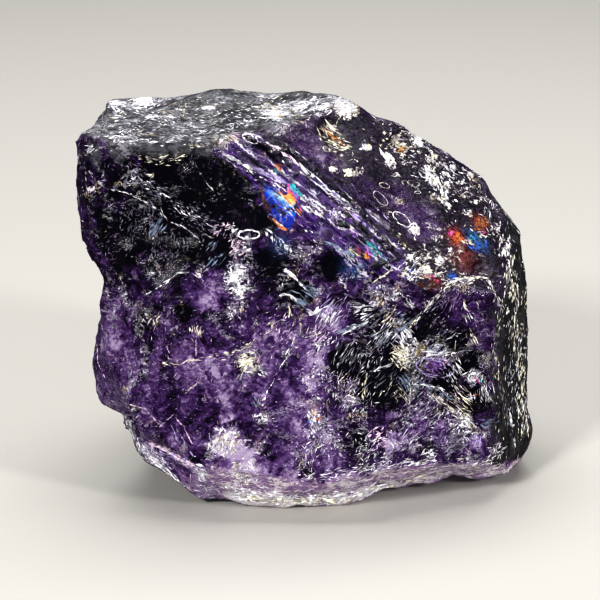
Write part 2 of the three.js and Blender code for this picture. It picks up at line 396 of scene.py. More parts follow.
def comb(
    tint: Tint, length: float, lean: float, width: float, dense: float, spread: float, *course: Spot
) -> Fracture:
    """Gives a fracture whose splinters lie across its course like a feather's barbs."""
    return Fracture(Habit.COMB, tint, course, width, length, spread, lean, dense)


def crowd(
    tint: Tint, across: float, up: float, radius: float, lean: float, dense: float, width: float = 0.14
) -> Fracture:
    """Gives a crowd of splinters."""
    return Fracture(Habit.CROWD, tint, ((across, up),), width, 0.45 + width * 2, radius, lean, dense)


def lump(tint: Tint, across: float, up: float, radius: float, lean: float) -> Fracture:
    """Gives a lump of short thick grains, as many as its size asks for."""
    return Fracture(Habit.CROWD, tint, ((across, up),), 0.3, 0.42, radius, lean, 10 + radius * 18)


def strands(
    tint: Tint, across: float, up: float, radius: float, lean: float, dense: float, width: float
) -> Fracture:
    """Gives a field of long thin strands that lie side by side."""
    return Fracture(Habit.STRANDS, tint, ((across, up),), width, 1.1 + width, radius, lean, dense)


def ring(tint: Tint, across: float, up: float, radius: float, lean: float, width: float = 0.13) -> Fracture:
    """Gives a flat ring of splinters, as many as its size asks for."""
    return Fracture(Habit.RING, tint, ((across, up),), width, radius * 0.45, radius, lean, 14 + radius * 12)


def upper_fractures() -> list[Fracture]:
    """Lists the fractures of the front's upper left, from the top's edge to the middle.

    Returns:
        The fractures.
    """
    crack = (
        (-23.3, 17.3), (-21.3, 15.8), (-19.1, 14.7), (-17.3, 13.4), (-15.1, 11.6), (-12.9, 10.5),
        (-11, 9.4)
    )
    return [
        seam(WHITE, 0.08, 0.08, 4, (-28.1, 17.2), (-26.7, 15.6), (-24.8, 14.6), (-22.2, 14),
            (-20.4, 12.9), (-18.7, 12), (-17.6, 10.6), (-15.1, 9.5), (-13.8, 8.4), (-12.7, 7.2)),
        seam(WHITE, 0.1, 0.3, 5, *crack), seam(ASH, 0.12, 0.9, 12, *crack),
        seam(CREAM, 0.11, 0.3, 6, (-21.5, 19), (-19.5, 18.6), (-17.8, 18.6), (-15.1, 19.3)),
        seam(WHITE, 0.14, 0.4, 8, (-28.6, 19.6), (-26, 20.6), (-23.5, 21.9), (-18.7, 21.3), (-16, 21.6),
            (-12.9, 22), (-9.9, 22.8), (-7.6, 23.4), (-5.4, 24)),
        seam(CREAM, 0.16, 0.08, 3, (-14.9, 20.4), (-13.1, 20.3), (-11.8, 20.8)),
        seam(WHITE, 0.1, 0.04, 3, (-12.9, 16), (-11.4, 14.5)), crowd(CREAM, -19.7, 16.5, 0.5, 60, 8),
        comb(STEEL, 1.6, 60, 0.18, 8.8, 0.3, (-20, 8.6), (-18.2, 10.2)),
        comb(STEEL, 1.3, 50, 0.18, 8.8, 0.3, (-12, 4.9), (-10, 5.6)),
        comb(STEEL, 0.8, 50, 0.12, 8.8, 0.3, (-12.4, 6.9), (-11, 7.2)),
        seam(WHITE, 0.13, 0.06, 3, (-20.6, 0.6), (-18.2, 2.1), (-16, 3.7), (-14.5, 3.6), (-13.1, 2.9)),
        crowd(WHITE, -8.6, 3.3, 1.5, 40, 70, 0.2), crowd(WHITE, -8.1, 1.3, 1.3, 30, 45, 0.18),
        crowd(PINK, -10.3, 9.5, 1.2, 50, 26), crowd(PINK, -8.6, 7, 1.7, 60, 40),
        crowd(WHITE, -9, 9.4, 0.8, 30, 18), ring(WHITE, -6.8, 8.7, 1.4, 0, 0.2),
        comb(WHITE, 0.9, -75, 0.14, 4, 0.1, (-4.6, 8.9), (-2.8, 7.5), (-1, 6.4)),
        seam(WHITE, 0.16, 0.05, 3, (-4.4, 9.4), (-2.1, 7.6)), crowd(ASH, -22, 10.5, 2.6, 60, 60, 0.1),
        crowd(ASH, -17, 7, 2.4, 70, 50, 0.1), crowd(MAUVE, -25.5, 7, 3, 40, 80, 0.1),
        crowd(ASH, -24.9, 19, 2.6, -30, 50, 0.1),
        seam(ASH, 0.1, 0.3, 8, (-20, 13), (-19.2, 9), (-19.5, 5.5)),
    ]


def ridge_fractures() -> list[Fracture]:
    """Lists the glassy plates and thin edges along the ridge, and the loops on the sloping skin.

    Returns:
        The fractures.
    """
    glassy = ((4.6, 10.6), (6.4, 9.5), (8.6, 8.2))
    short_step = ((9.6, 8), (11, 6.6), (12.6, 5.8))
    film_edge = ((-5.2, 14.6), (-4.9, 13.2), (-4, 11.8))
    shoulder = (
        (9.3, 25), (12.5, 23), (16, 21), (19.5, 18.4), (22.5, 15.8), (24.8, 12.9), (26.6, 9), (28, 6)
    )
    return [
        seam(WHITE, 0.5, 0.06, 3, (-9.5, 19.1), (-6.5, 17.4)),
        seam(LILAC, 0.6, 0.1, 2.5, (-6.4, 17.8), (-4.5, 16.7), (-2.1, 15.6)),
        seam(WHITE, 0.22, 0.1, 3, (-6.7, 17.2), (-4.5, 16), (-2.6, 14.9)),
        ring(WHITE, -6.6, 21.4, 1.1, -25, 0.25),
        seam(PINK, 0.35, 0.12, 3, (-5.4, 20.9), (-3.4, 20.3), (-2.1, 19.6), (-1.2, 18.7), (-0.3, 17.9)),
        seam(WHITE, 0.42, 0.08, 2.5, (-0.7, 18.4), (0.9, 17), (2, 16.2), (3.5, 14.9), (4.4, 14.2)),
        seam(LILAC, 0.24, 0.08, 2.5, (4.4, 14.2), (5.6, 13.3), (7, 12.1)),
        seam(WHITE, 0.16, 0.08, 2.5, (4.6, 14.3), (7, 12.3)),
        seam(INK, 0.5, 0.14, 5, (-1.4, 20), (0.4, 18.3), (2.4, 16.8), (4.2, 15.2), (6, 13.7),
            (8.4, 11.5), (10.6, 8.9), (12.6, 6.6)),
        seam(INK, 0.4, 0.1, 3, (-3.2, 19.3), (-1.6, 18), (0.2, 16.4), (2.4, 14.4)),
        seam(WHITE, 0.13, 0.05, 3, (-1.3, 20.1), (0.1, 19.3), (1.6, 17.9)),
        seam(WHITE, 0.14, 0.05, 3, (-2.4, 18.5), (-0.9, 17.3)), seam(INK, 0.5, 0.35, 7, *glassy),
        seam(VIOLET, 0.3, 0.35, 4, *glassy), lump(LILAC, 4.6, 11.4, 1.3, -35),
        lump(WHITE, 4.6, 11.5, 0.9, -35), seam(WHITE, 0.3, 0.1, 3, (0.1, 13.5), (1.3, 12.3), (2.9, 11)),
        seam(WHITE, 0.2, 0.15, 3, (-0.3, 10.2), (0.7, 9.6), (1.6, 9)),
        seam(LILAC, 0.4, 0.08, 3, (7.4, 11.3), (9.5, 9.1)),
        seam(WHITE, 0.13, 0.06, 3, (6, 14.3), (8.1, 12), (10.3, 9.1), (13.1, 6.6)),
        seam(LILAC, 0.24, 0.1, 3, *short_step), seam(WHITE, 0.12, 0.12, 3, *short_step),
        seam(STEEL, 0.5, 0.1, 3, (3.8, 7.6), (5.7, 6.6), (7.3, 5.7), (8.1, 4.6)),
        seam(CREAM, 0.2, 0.05, 3, (9.6, 2.3), (12.3, 4)),
        seam(PINK, 0.2, 0.35, 8, (-10.4, 20.6), (-9.6, 21.8), (-8, 22)),
        ring(WHITE, 10.7, 13.5, 1.2, -45, 0.07), ring(CREAM, 11.2, 15.2, 0.7, -20, 0.08),
        ring(WHITE, 13.5, 10.7, 1.4, -40, 0.12), ring(WHITE, 15.6, 14.3, 0.4, 0),
        ring(CREAM, 3.5, 20, 0.5, -35),
        seam(CREAM, 0.24, 0.3, 9, (2.6, 22.8), (3.6, 21.2), (5.2, 20.3), (6.6, 20.3)),
        seam(CREAM, 0.2, 0.3, 8, (3.4, 23.6), (4.4, 22.6), (5.8, 21.4)),
        seam(EMBER, 0.14, 0.25, 4, (3, 23), (4.2, 21.6), (5.8, 20.8)),
        seam(OCHRE, 0.2, 0.2, 12, (3.9, 21.9), (4.9, 21.2), (5.6, 21.1)),
        seam(INK, 0.34, 0.1, 5, (5.4, 12.2), (8, 9.8), (10.4, 7.4)),
        seam(LILAC, 0.1, 0.06, 3, (6.9, 15.3), (9.5, 12.9), (12.5, 9.8)),
        seam(INK, 0.2, 0.06, 3, (7.6, 15.3), (10.2, 12.8), (13.2, 9.7)),
        seam(INK, 0.7, 0.12, 7, (9.6, 4.2), (11, 4.9), (12.8, 5.5)),
        seam(RUST, 0.5, 0.15, 8, (15.8, 2), (17, 1.7), (18.4, 2.2)),
        # The rose, orange, teal and blue splinters in this list are painted rainbow glints.
        seam(ROSE, 0.13, 0.05, 3, (16.6, 3.3), (17.6, 3.1), (18.8, 2)),
        seam(EMBER, 0.12, 0.05, 3, (16.4, 3.1), (17.5, 2.8), (18.3, 2.3)),
        seam(ROSE, 0.2, 0.1, 5, (7.6, 6.9), (8.2, 6.1)), seam(RUST, 0.3, 0.1, 4, (7, 6.2), (7.7, 5)),
        seam(EMBER, 0.16, 0.08, 5, (-4.2, 11.2), (-3, 10.2), (-1.8, 9.3)),
        seam(CREAM, 0.14, 0.05, 4, (-3.9, 11), (-2.8, 10.1), (-1.8, 9.5)),
        seam(RUST, 0.4, 0.1, 4, *film_edge), seam(EMBER, 0.12, 0.06, 3, *film_edge),
        seam(INK, 0.16, 0.2, 6, (-4.2, 13.4), (-3, 12.2), (-1.9, 11)),
        seam(EMBER, 0.24, 0.06, 5, (-2.8, 14.4), (-1.4, 13), (0.1, 11.5)),
        seam(CREAM, 0.18, 0.05, 4, (-2.7, 14.1), (-1.4, 12.7), (-0.2, 11.4)),
        seam(ROSE, 0.16, 0.06, 5, (-1.6, 15.3), (-0.7, 13.6), (0.2, 11.9)),
        seam(TEAL, 0.24, 0.1, 8, (-0.8, 15), (0.4, 13.6)),
        seam(AZURE, 0.26, 0.1, 6, (-0.7, 14.2), (-0.1, 12.8)),
        seam(AZURE, 0.2, 0.25, 6, (-4.8, 15.2), (-3, 14.4)), strands(STEEL, -2.3, 12.6, 1.1, -45, 14, 0.12),
        strands(CREAM, -1.8, 12, 1, -45, 16, 0.1), lump(INK, -2.2, 11.6, 0.3, -45),
        seam(LILAC, 0.09, 0.03, 3, (-5.3, 12.6), (-3.1, 14.5), (-1.7, 15.6), (-0.9, 17)),
        lump(WHITE, -2.9, 16, 0.4, -30), seam(TEAL, 0.16, 0.3, 9, (8.6, 8), (9.8, 6.4), (11.2, 5.4)),
        seam(WHITE, 0.1, 0.4, 12, (8.2, 8.4), (9.8, 6.4), (11.6, 5.2)), lump(WHITE, 15.2, 9.6, 0.7, 30),
        seam(WHITE, 0.2, 0.05, 3, (15.2, 9), (15.2, 7.8)),
        seam(WHITE, 0.24, 0.4, 11, (16.3, 17.5), (17.4, 16.3), (18.5, 15.1), (19, 13.9), (19.4, 12.7)),
        seam(WHITE, 0.5, 0.1, 3, (10.9, 19.5), (11.9, 17.7)), lump(WHITE, 8.6, 20.2, 0.8, -40),
        lump(WHITE, 20.2, 17.6, 0.7, -40), lump(CREAM, 17.8, 18.9, 0.5, -40),
        lump(WHITE, 15.6, 20.8, 0.7, -40), lump(CREAM, 12.8, 20.6, 0.8, -20),
        lump(CREAM, 6.4, 16.9, 0.7, -30), lump(CREAM, 4.2, 17.4, 0.5, -30), lump(WHITE, 18.7, 5.2, 0.6, 10),
        lump(WHITE, 19.9, 6.6, 0.3, 10), lump(INK, 16, 18.5, 4, -40), lump(CREAM, 13, 21.2, 3, -30),
        lump(INK, 20.5, 14, 3.6, -40), lump(WHITE, 19.5, 15.6, 3, -40), lump(OCHRE, 13.4, 19.9, 0.5, -20),
        lump(INK, 14.4, 19.6, 0.5, -20), lump(INK, 16.8, 19.8, 0.5, -40), lump(INK, 18.6, 17.2, 0.6, -40),
        lump(INK, 20.8, 15, 0.7, -40), lump(INK, 21.6, 12.6, 0.7, -50),
        crowd(WHITE, 15.2, 4.2, 2.4, 40, 110, 0.12), crowd(AZURE, 14.6, 3.4, 1.8, 40, 10, 0.14),
        seam(WHITE, 0.13, 0.8, 7, *shoulder), seam(INK, 0.2, 0.8, 9, *shoulder),
        seam(WHITE, 0.12, 1, 3, (12, 19.5), (15.5, 18), (19, 14.5), (21.5, 11)),
    ]


def right_fractures() -> list[Fracture]:
    """Lists the fractures of the front's crushed right, with the cream line below the skin.

    Returns:
        The fractures.
    """
    strip_edge = (
        (26.8, -1.2), (26.3, -3.3), (25.9, -6.8), (26.4, -9.8), (26.8, -12), (27.1, -14.1), (27.4, -16.5)
    )
    return [
        seam(CREAM, 0.13, 0.12, 5, (13.8, -4.4), (16, -2), (18.4, 0.8), (20.1, 2.3), (21.1, 2.8),
            (23.3, 3), (24.9, 3), (25.5, 1.7), (26.8, -1.2)),
        seam(WHITE, 0.11, 0.25, 7, (14.8, -3.4), (17.4, -0.6), (20.1, 2.3), (23.3, 3), (24.9, 3),
            (26.8, -1.2)),
        seam(CREAM, 0.11, 0.25, 4, *strip_edge), seam(ASH, 0.12, 0.3, 9, *strip_edge),
        comb(STEEL, 1.6, 25, 0.13, 6.6, 0.3, (5.4, -4.3), (7.6, -3.4), (9.4, -2.4)),
        seam(WHITE, 0.14, 0.3, 4, (5.2, -4.4), (7.6, -3.5), (9.5, -2.3)),
        comb(WHITE, 1.2, -55, 0.16, 5, 0.1, (14, -4.4), (15.6, -5.6)),
        seam(WHITE, 0.22, 0.05, 3, (16, -6.8), (18.4, -7), (20.7, -7)),
        comb(STEEL, 0.9, 20, 0.18, 5.5, 0.3, (16.6, -6.4), (19.4, -6.5)),
        crowd(CREAM, 13.8, -7.4, 1.7, -30, 70, 0.16), strands(VIOLET, 17.9, -9, 1.7, -35, 26, 0.12),
        strands(LILAC, 18.9, -8.4, 1.2, -35, 16, 0.1), crowd(PINK, 19.2, -8.2, 0.9, -40, 12, 0.1),
        ring(LILAC, 17.9, -9, 2.5, -12, 0.12),
        seam(WHITE, 0.12, 0.1, 6, (15.6, -8.4), (16.4, -7.6), (17.8, -7.2), (19.4, -7.3), (20.6, -7.1)),
        seam(STEEL, 0.13, 0.12, 6, (15.4, -10.6), (16.9, -11.4), (18.6, -12.2), (20.4, -13.4)),
        comb(STEEL, 1.3, -50, 0.13, 8.8, 0.3, (12.8, -9.8), (14.6, -11.2)),
        seam(WHITE, 0.2, 0.08, 3, (16, -11.1), (17.7, -11.5), (19.4, -12.2)),
        seam(WHITE, 0.16, 0.08, 3, (16.2, -12.2), (18.2, -13.4)),
        seam(CREAM, 0.12, 0.3, 9, (17.7, -12.8), (20, -14.6), (21.8, -15.8), (22.9, -16.9)),
        comb(STEEL, 0.9, 10, 0.18, 6.6, 0.3, (24.3, -16.1), (25.7, -16.4)),
        seam(STEEL, 0.16, 0.05, 3, (23.4, -16.4), (24.4, -16.9), (25.7, -16.7), (26.6, -15.8)),
        seam(CREAM, 0.2, 0.12, 3, (21.6, 0.1), (22.2, -1.6)),
        comb(WHITE, 1.1, -60, 0.16, 5, 0.3, (21.9, -1.8), (24.2, -3.4)),
        comb(CREAM, 1, -70, 0.18, 6, 0.3, (22.3, -4.4), (23.6, -5.8)),
        seam(CREAM, 0.18, 0.05, 3, (20.7, -5.2), (20.6, -6.3)),
        seam(WHITE, 0.42, 0.1, 3, (27.9, -15.6), (28.4, -19.3)),
        crowd(WHITE, 26.3, -20.2, 1.4, 50, 50, 0.16), crowd(WHITE, 23.1, -10.2, 1.2, 50, 40, 0.14),
        # Painted rainbow glints: the rose, teal, orange and blue splinters here and further down.
        seam(ROSE, 0.12, 0.06, 3, (22.6, -9.6), (23.6, -10.8)),
        seam(TEAL, 0.14, 0.06, 3, (23.4, -9.8), (24.3, -11)),
        seam(EMBER, 0.14, 0.06, 3, (22.4, -12.9), (23.4, -12.5)),
        seam(AZURE, 0.14, 0.06, 3, (22.6, -13.2), (23.5, -12.8)),
        seam(AZURE, 0.2, 0.06, 3, (0.9, -16.1), (1.5, -16.4), (2.2, -16.3)),
        seam(EMBER, 0.16, 0.06, 3, (1.9, -15.9), (2.9, -15.6)), crowd(WHITE, 22.7, -12.8, 0.6, 30, 16),
        crowd(WHITE, 21.9, -16.3, 0.8, -40, 22), crowd(WHITE, 17.3, -20.4, 1, 30, 26),
        strands(LILAC, 23.5, -18.6, 0.9, 75, 16, 0.1), crowd(PINK, 10.4, -18.5, 1.6, 30, 34, 0.18),
        crowd(WHITE, 9.5, -7.5, 2.6, 60, 40, 0.09), crowd(CREAM, 12.3, -12.2, 2.4, 55, 18, 0.09),
        crowd(WHITE, 19.5, -4.5, 2.6, 50, 24, 0.08), crowd(WHITE, 16, -15.5, 2.6, 40, 44, 0.08),
        crowd(WHITE, 8, -13.5, 2.6, 60, 50, 0.08), crowd(WHITE, 3, -5.5, 2.4, 50, 60, 0.13),
        seam(WHITE, 0.12, 0.4, 7, (14.8, -1), (13.2, 1), (10.5, -0.6), (7.5, -1.5)),
        comb(CREAM, 0.8, 88, 0.24, 7.5, 0.45, (27.2, 8), (28.4, 1), (29.2, -8), (29.6, -18)),
        comb(WHITE, 0.7, 88, 0.26, 6.5, 0.55, (27, 8.6), (28.2, 1), (29, -8), (29.4, -18)),
        comb(CREAM, 0.5, 88, 0.24, 2.5, 0.12, (29.6, 6), (30.1, -2), (30.3, -10)),
        comb(WHITE, 0.5, 86, 0.12, 3, 0.5, (27.8, -2), (28, -10), (28.2, -17)),
        seam(WHITE, 0.3, 0.15, 6, (-1.9, 4), (-0.8, 3.2)),
        seam(WHITE, 0.16, 0.08, 6, (-0.9, 3.2), (0.1, 2.1), (0.8, 1.5)),
        seam(WHITE, 0.24, 0.15, 6, (-2.7, 0.7), (-1.4, 0.6), (-0.3, -0.2)),
        seam(WHITE, 0.4, 0.15, 5, (0.8, -1.4), (1.6, -1.8), (2.4, -1.3)),
        strands(STEEL, 1.3, 1.2, 1.1, -20, 24, 0.2), strands(STEEL, 0.2, -0.2, 1.3, -30, 24, 0.16),
        seam(CREAM, 0.16, 0.06, 4, (-1.4, -0.8), (-1.5, -2.2)),
        seam(CREAM, 0.14, 0.06, 4, (0, -2.8), (0.1, -4.1)), strands(WHITE, 3.9, -2.2, 1.6, 55, 60, 0.12),
        strands(LILAC, 4.6, -1.4, 2.2, 52, 60, 0.1), strands(PINK, 2.2, -4.4, 1.8, 50, 40, 0.09),
        strands(WHITE, 8.4, -1.4, 1.3, 12, 16, 0.14),
        seam(WHITE, 0.12, 0.05, 4, (4.9, -4.7), (7.2, -3.7), (9.6, -2.1)),
        seam(WHITE, 0.12, 0.05, 4, (5.6, -4.6), (7.9, -3.5), (9.9, -2.5)),
        strands(WHITE, 11.2, -4.4, 1.7, 50, 26, 0.1), strands(STEEL, 11.2, -4.4, 2, 50, 30, 0.1),
        strands(CREAM, 12.4, -2.6, 1.6, 50, 30, 0.1), strands(STEEL, 13.6, -3, 1.4, 30, 26, 0.18),
        strands(CREAM, 13.6, -7.4, 1.9, -35, 50, 0.12), strands(WHITE, 14, -5.2, 1.6, -55, 40, 0.12),
        seam(WHITE, 0.13, 0.1, 6, (9.5, -9.6), (10.6, -9), (11.9, -8.7)),
        seam(CREAM, 0.12, 0.15, 7, (8.4, -13.3), (8.6, -11.4), (9, -9.8)),
        strands(CREAM, 14.1, -12.3, 1.6, -60, 20, 0.08), strands(STEEL, 14.4, -12, 1.8, -55, 24, 0.1),
        strands(WHITE, 7, -7, 2.6, 55, 30, 0.08), strands(ASH, 7, -7, 3, 60, 50, 0.08),
        strands(CREAM, 6.4, -11.6, 2.6, 55, 20, 0.08), strands(MAUVE, 6.4, -11.6, 2.8, 65, 50, 0.08),
        strands(WHITE, 16.6, -14.4, 2.4, 45, 36, 0.08), strands(ASH, 16.6, -14.4, 2.6, 40, 40, 0.08),
        strands(WHITE, 20.6, -9.6, 2, -60, 40, 0.09), strands(CREAM, 21.4, -13.4, 2, -50, 50, 0.09),
        strands(WHITE, 24.6, -12.2, 1.6, -75, 40, 0.09), strands(ASH, 22, -6.4, 3.4, 30, 50, 0.07),
        strands(ASH, 12, -11, 4, 50, 60, 0.07), strands(ASH, 20.6, -19, 1.6, 25, 50, 0.16),
        strands(WHITE, 14.6, -19.4, 2.4, 45, 50, 0.08), strands(MAUVE, 20, 0, 2, 60, 60, 0.09),
        seam(CREAM, 0.22, 0.05, 4, (9.6, 2.2), (11.6, 3.5)), crowd(ROSE, 20, 8.9, 0.5, 60, 12, 0.16),
        crowd(EMBER, 20.9, 8.3, 1, -50, 24, 0.12), crowd(EMBER, 24, 10.2, 1.1, -50, 18, 0.12),
        crowd(OCHRE, 24.2, 10.2, 1.1, -50, 24, 0.14), crowd(ROSE, 24.5, 9, 0.25, 0, 5, 0.16),
        crowd(AZURE, 23.6, 7.6, 1.5, -50, 22, 0.14), crowd(TEAL, 23, 8.4, 1, -50, 12, 0.12),
        crowd(AZURE, 20.2, 3.1, 0.6, 0, 8, 0.14),
    ]


def lower_fractures() -> list[Fracture]:
    """Lists the fractures of the front's violet lower part.

    Returns:
        The fractures.
    """
    rim = ((-19.7, -19.1), (-18.2, -19.7), (-16.7, -20.6), (-14.4, -22))
    lobe_edge = ((-22.9, -15.9), (-22.4, -17.6), (-21.3, -19.8), (-19.7, -21.2))
    return [
        seam(CREAM, 0.14, 0.18, 4, (-18.5, -8.6), (-15.2, -8.1), (-12, -7.6), (-9.4, -7.2),
            (-7.1, -6.2), (-4.8, -4.8), (-3.6, -3)),
        crowd(CREAM, -6.9, -8.3, 1.3, 40, 60, 0.2), seam(WHITE, 0.14, 0.2, 4, (-6.9, -8.3), (-8.2, -10.6)),
        seam(WHITE, 0.14, 0.2, 4, (-6.9, -8.3), (-4.6, -10)), crowd(CREAM, -19.4, -2.5, 1.3, 80, 30, 0.16),
        crowd(CREAM, -13.7, -4, 1.1, 80, 22, 0.13),
        seam(PINK, 0.1, 0.04, 3, (-19.9, -6.9), (-17.8, -5.8), (-17.3, -7.2)),
        seam(PINK, 0.1, 0.05, 3, (-13.8, -3), (-13.8, -7.8)),
        seam(WHITE, 0.12, 0.1, 3, (-5, -13.7), (-3.6, -10.7), (-1.7, -7.4), (-0.5, -5)),
        seam(CREAM, 0.1, 0.06, 3, (-15.2, -12.3), (-12.9, -10.4)),
        comb(STEEL, 1, -60, 0.15, 8, 0.3, (-6.2, -13.3), (-5.4, -14.2)),
        crowd(WHITE, -5.1, -15.6, 0.9, 50, 26, 0.2),
        seam(PINK, 0.14, 0.05, 3, (-22.7, -13.9), (-20.6, -14.4), (-18.5, -16.7), (-16.9, -15.3),
            (-15.5, -16.7), (-14.1, -19.5)),
        seam(LILAC, 0.2, 0.06, 3, (-15.8, -18.1), (-14.9, -19.7), (-13.9, -21.1)),
        seam(LILAC, 0.14, 0.05, 3, (-17.1, -16.6), (-16.4, -18.1), (-15.2, -20.4)),
        seam(PINK, 0.3, 0.14, 12, *rim), seam(WHITE, 0.22, 0.1, 5, *rim),
        seam(LILAC, 0.3, 0.25, 8, (-18.6, -19.9), (-16.7, -20.8), (-14.9, -22)),
        seam(WHITE, 0.26, 0.3, 14, (-13.8, -22), (-12.6, -23.9)),
        seam(WHITE, 0.2, 0.12, 10, (-20.9, -19.1), (-19.9, -20.8), (-18.5, -22), (-17.6, -23.2)),
        seam(WHITE, 0.16, 0.1, 8, (-19.6, -19.2), (-19.5, -20.1), (-18.6, -21), (-17.8, -21.8)),
        seam(PINK, 0.12, 0.05, 5, (-17.4, -23.2), (-14.5, -25.2)),
        seam(PINK, 0.1, 0.05, 5, (-14.6, -23.2), (-14.4, -25.2)), seam(WHITE, 0.16, 0.25, 9, *lobe_edge),
        seam(ASH, 0.18, 0.2, 9, *lobe_edge),
        seam(ASH, 0.16, 0.4, 14, (-23.4, -16.5), (-21.6, -19.6), (-19.2, -22), (-17.5, -23.5)),
        seam(WHITE, 0.24, 0.3, 9, (-23, -16.5), (-21.1, -20), (-18.1, -22.5), (-14.8, -25)),
        crowd(WHITE, -10.4, -18.8, 2.2, 80, 70, 0.14), crowd(CREAM, -9.4, -19.6, 2.4, 60, 60, 0.12),
        crowd(CREAM, -7.6, -22.6, 2.2, 30, 60, 0.12), crowd(WHITE, -22.4, -19.2, 1.5, -50, 50, 0.14),
        crowd(WHITE, -13.2, -23, 1, -50, 40, 0.16), seam(CREAM, 0.2, 0.08, 3, (-7.8, -17), (-9.2, -19.2)),
        crowd(WHITE, -7.8, -24, 2, 60, 60, 0.14),
        seam(LILAC, 0.13, 0.15, 3, (-22, -6.9), (-22.2, -9.5), (-22.7, -13)),
        seam(WHITE, 0.15, 0.2, 6, (1.3, -15.2), (1.9, -18.2)),
        seam(WHITE, 0.12, 0.3, 9, (0, -23.8), (4.3, -23.2), (9.1, -22.5), (13.8, -21.7), (18.1, -21.5)),
        crowd(MAUVE, -14, -12, 4.5, 45, 80, 0.07), crowd(MAUVE, -17, -4, 4, 60, 70, 0.07),
        crowd(MAUVE, -9, -12.5, 4, 50, 70, 0.07), crowd(MAUVE, -10.5, -1.5, 3.5, 45, 60, 0.07),
        crowd(PINK, -14, -9, 5, 45, 40, 0.06), crowd(WHITE, 2, -19.5, 3.2, 60, 110, 0.08),
        crowd(WHITE, 9, -20, 2.8, 40, 90, 0.08), crowd(WHITE, 4, -11, 3, 60, 80, 0.08),
        crowd(MAUVE, -20.5, -17, 2.5, 50, 60, 0.1), crowd(PINK, -2, -4, 3.4, 60, 70, 0.1),
        crowd(MAUVE, -25.3, -8, 3, 85, 80, 0.1),
        seam(CREAM, 0.5, 0.25, 2, (-7.5, -26), (-2, -26.6), (6, -26.6), (12, -24.4), (19, -22.8)),
        Fracture(Habit.SEAM, PINK, ((-9, -25.2), (-2, -25.4), (6, -25.2), (13, -23.4),
            (23, -21.8)), 0.1, 1.5, 0.5, dense=6),
        seam(WHITE, 0.16, 0.6, 8, (-14, -24.6), (-10.5, -25.4), (-5, -26)),
        seam(WHITE, 0.34, 0.45, 12, (-9, -25.7), (-4, -26.3), (2, -26.5), (7, -26.1), (12, -24.3)),
        seam(CREAM, 0.3, 0.3, 5, (-6, -26.3), (0, -26.9), (6, -26.6)),
        seam(MAUVE, 0.12, 0.5, 8, (-8, -24.6), (0, -25.4), (8, -24.6), (18, -22.8)),
        seam(CREAM, 0.1, 0.6, 6, (10, -23.4), (18, -22.4), (25, -21.8), (29, -21.6)),
        seam(INK, 0.1, 0.6, 5, (10, -23.8), (18, -22.8), (25, -22), (29.5, -21.8)),
        seam(MAUVE, 0.14, 0.6, 16, (24, -23), (28, -23.2), (30.4, -21.6)),
    ]


def top_fractures() -> list[Fracture]:
    """Lists the white streaks that lie on the frosted top.

    Returns:
        The fractures.
    """
    streaks = [(-3.5, 25, 2.2), (2, 25.9, 2), (6.4, 25.8, 1.4), (-20.5, 26.2, 2.2), (-24, 25.6, 1.4)]
    front, back = ((-27, 22.8), (-16, 23.6), (-4, 24.6), (6, 26)), ((-26, 23.4), (-14, 25.4), (4, 26.6))
    return [
        Fracture(Habit.SEAM, WHITE, front, 0.16, 0.7, 0.8, dense=9),
        Fracture(Habit.SEAM, CREAM, back, 0.14, 0.6, 0.6, dense=3),
    ] + [crowd(WHITE, across, up, radius, 4, 26 * radius, 0.24) for across, up, radius in streaks]


@dataclass(frozen=True)
class PhotoCamera:
    """The camera, a little above the stone and square to its glassy front."""

    elevation_deg: float = 22.0
    distance_mm: float = 260.0
    target: Place = (-0.93, 0.0, 22.6)
    focal_length_mm: float = 117.5

    def back(self) -> Vector:
        """Gives the way from the stone to the camera."""
        angle = math.radians(self.elevation_deg)
        return Vector((0, -math.cos(angle), math.sin(angle)))

    def position(self) -> Vector:
        """Gives the camera's place, in millimetres."""
        return Vector(self.target) + self.back() * self.distance_mm

    def picture_point(self, across: float, up: float) -> Vector:
        """Gives a place on the plane through the target that the camera looks at squarely."""
        right = Vector((1, 0, 0))
        return Vector(self.target) + right * across + self.back().cross(right) * up

    def place(self) -> bpy.types.Object:
        """Adds the camera to the scene and makes it the scene's own.

        Returns:
            The camera object.
        """
        data = bpy.data.cameras.new("camera")
        data.lens = self.focal_length_mm
        data.clip_start = 0.01
        camera = bpy.data.objects.new("camera", data)
        camera.location = self.position() * MM
        camera.rotation_euler = (-self.back()).to_track_quat("-Z", "Y").to_euler()
        bpy.context.scene.collection.objects.link(camera)
        bpy.context.scene.camera = camera
        return camera


class Sight:
    """Finds the place on the stone that shows at a place in the picture."""

    def __init__(self, camera: PhotoCamera, solid: bpy.types.Object) -> None:
        """Readies the stone's solid for a camera to look at."""
        self.camera = camera
        self.tree = BVHTree.FromObject(solid, bpy.context.evaluated_depsgraph_get())

    def meets(self, across: float, up: float) -> tuple[Vector, Vector]:
        """Follows a line of sight to the stone.

        Args:
            across: Millimetres to the right of the picture's middle.
            up: Millimetres above the picture's middle.

        Returns:
            The place that it meets, in millimetres, and the way that the surface looks there.
        """
        start = self.camera.position() * MM
        way = (self.camera.picture_point(across, up) * MM - start).normalized()
        place, normal, _, _ = self.tree.ray_cast(start, way)
        if place is None:
            place, normal, _, _ = self.tree.find_nearest(self.camera.picture_point(across, up) * MM)
        return place / MM, normal


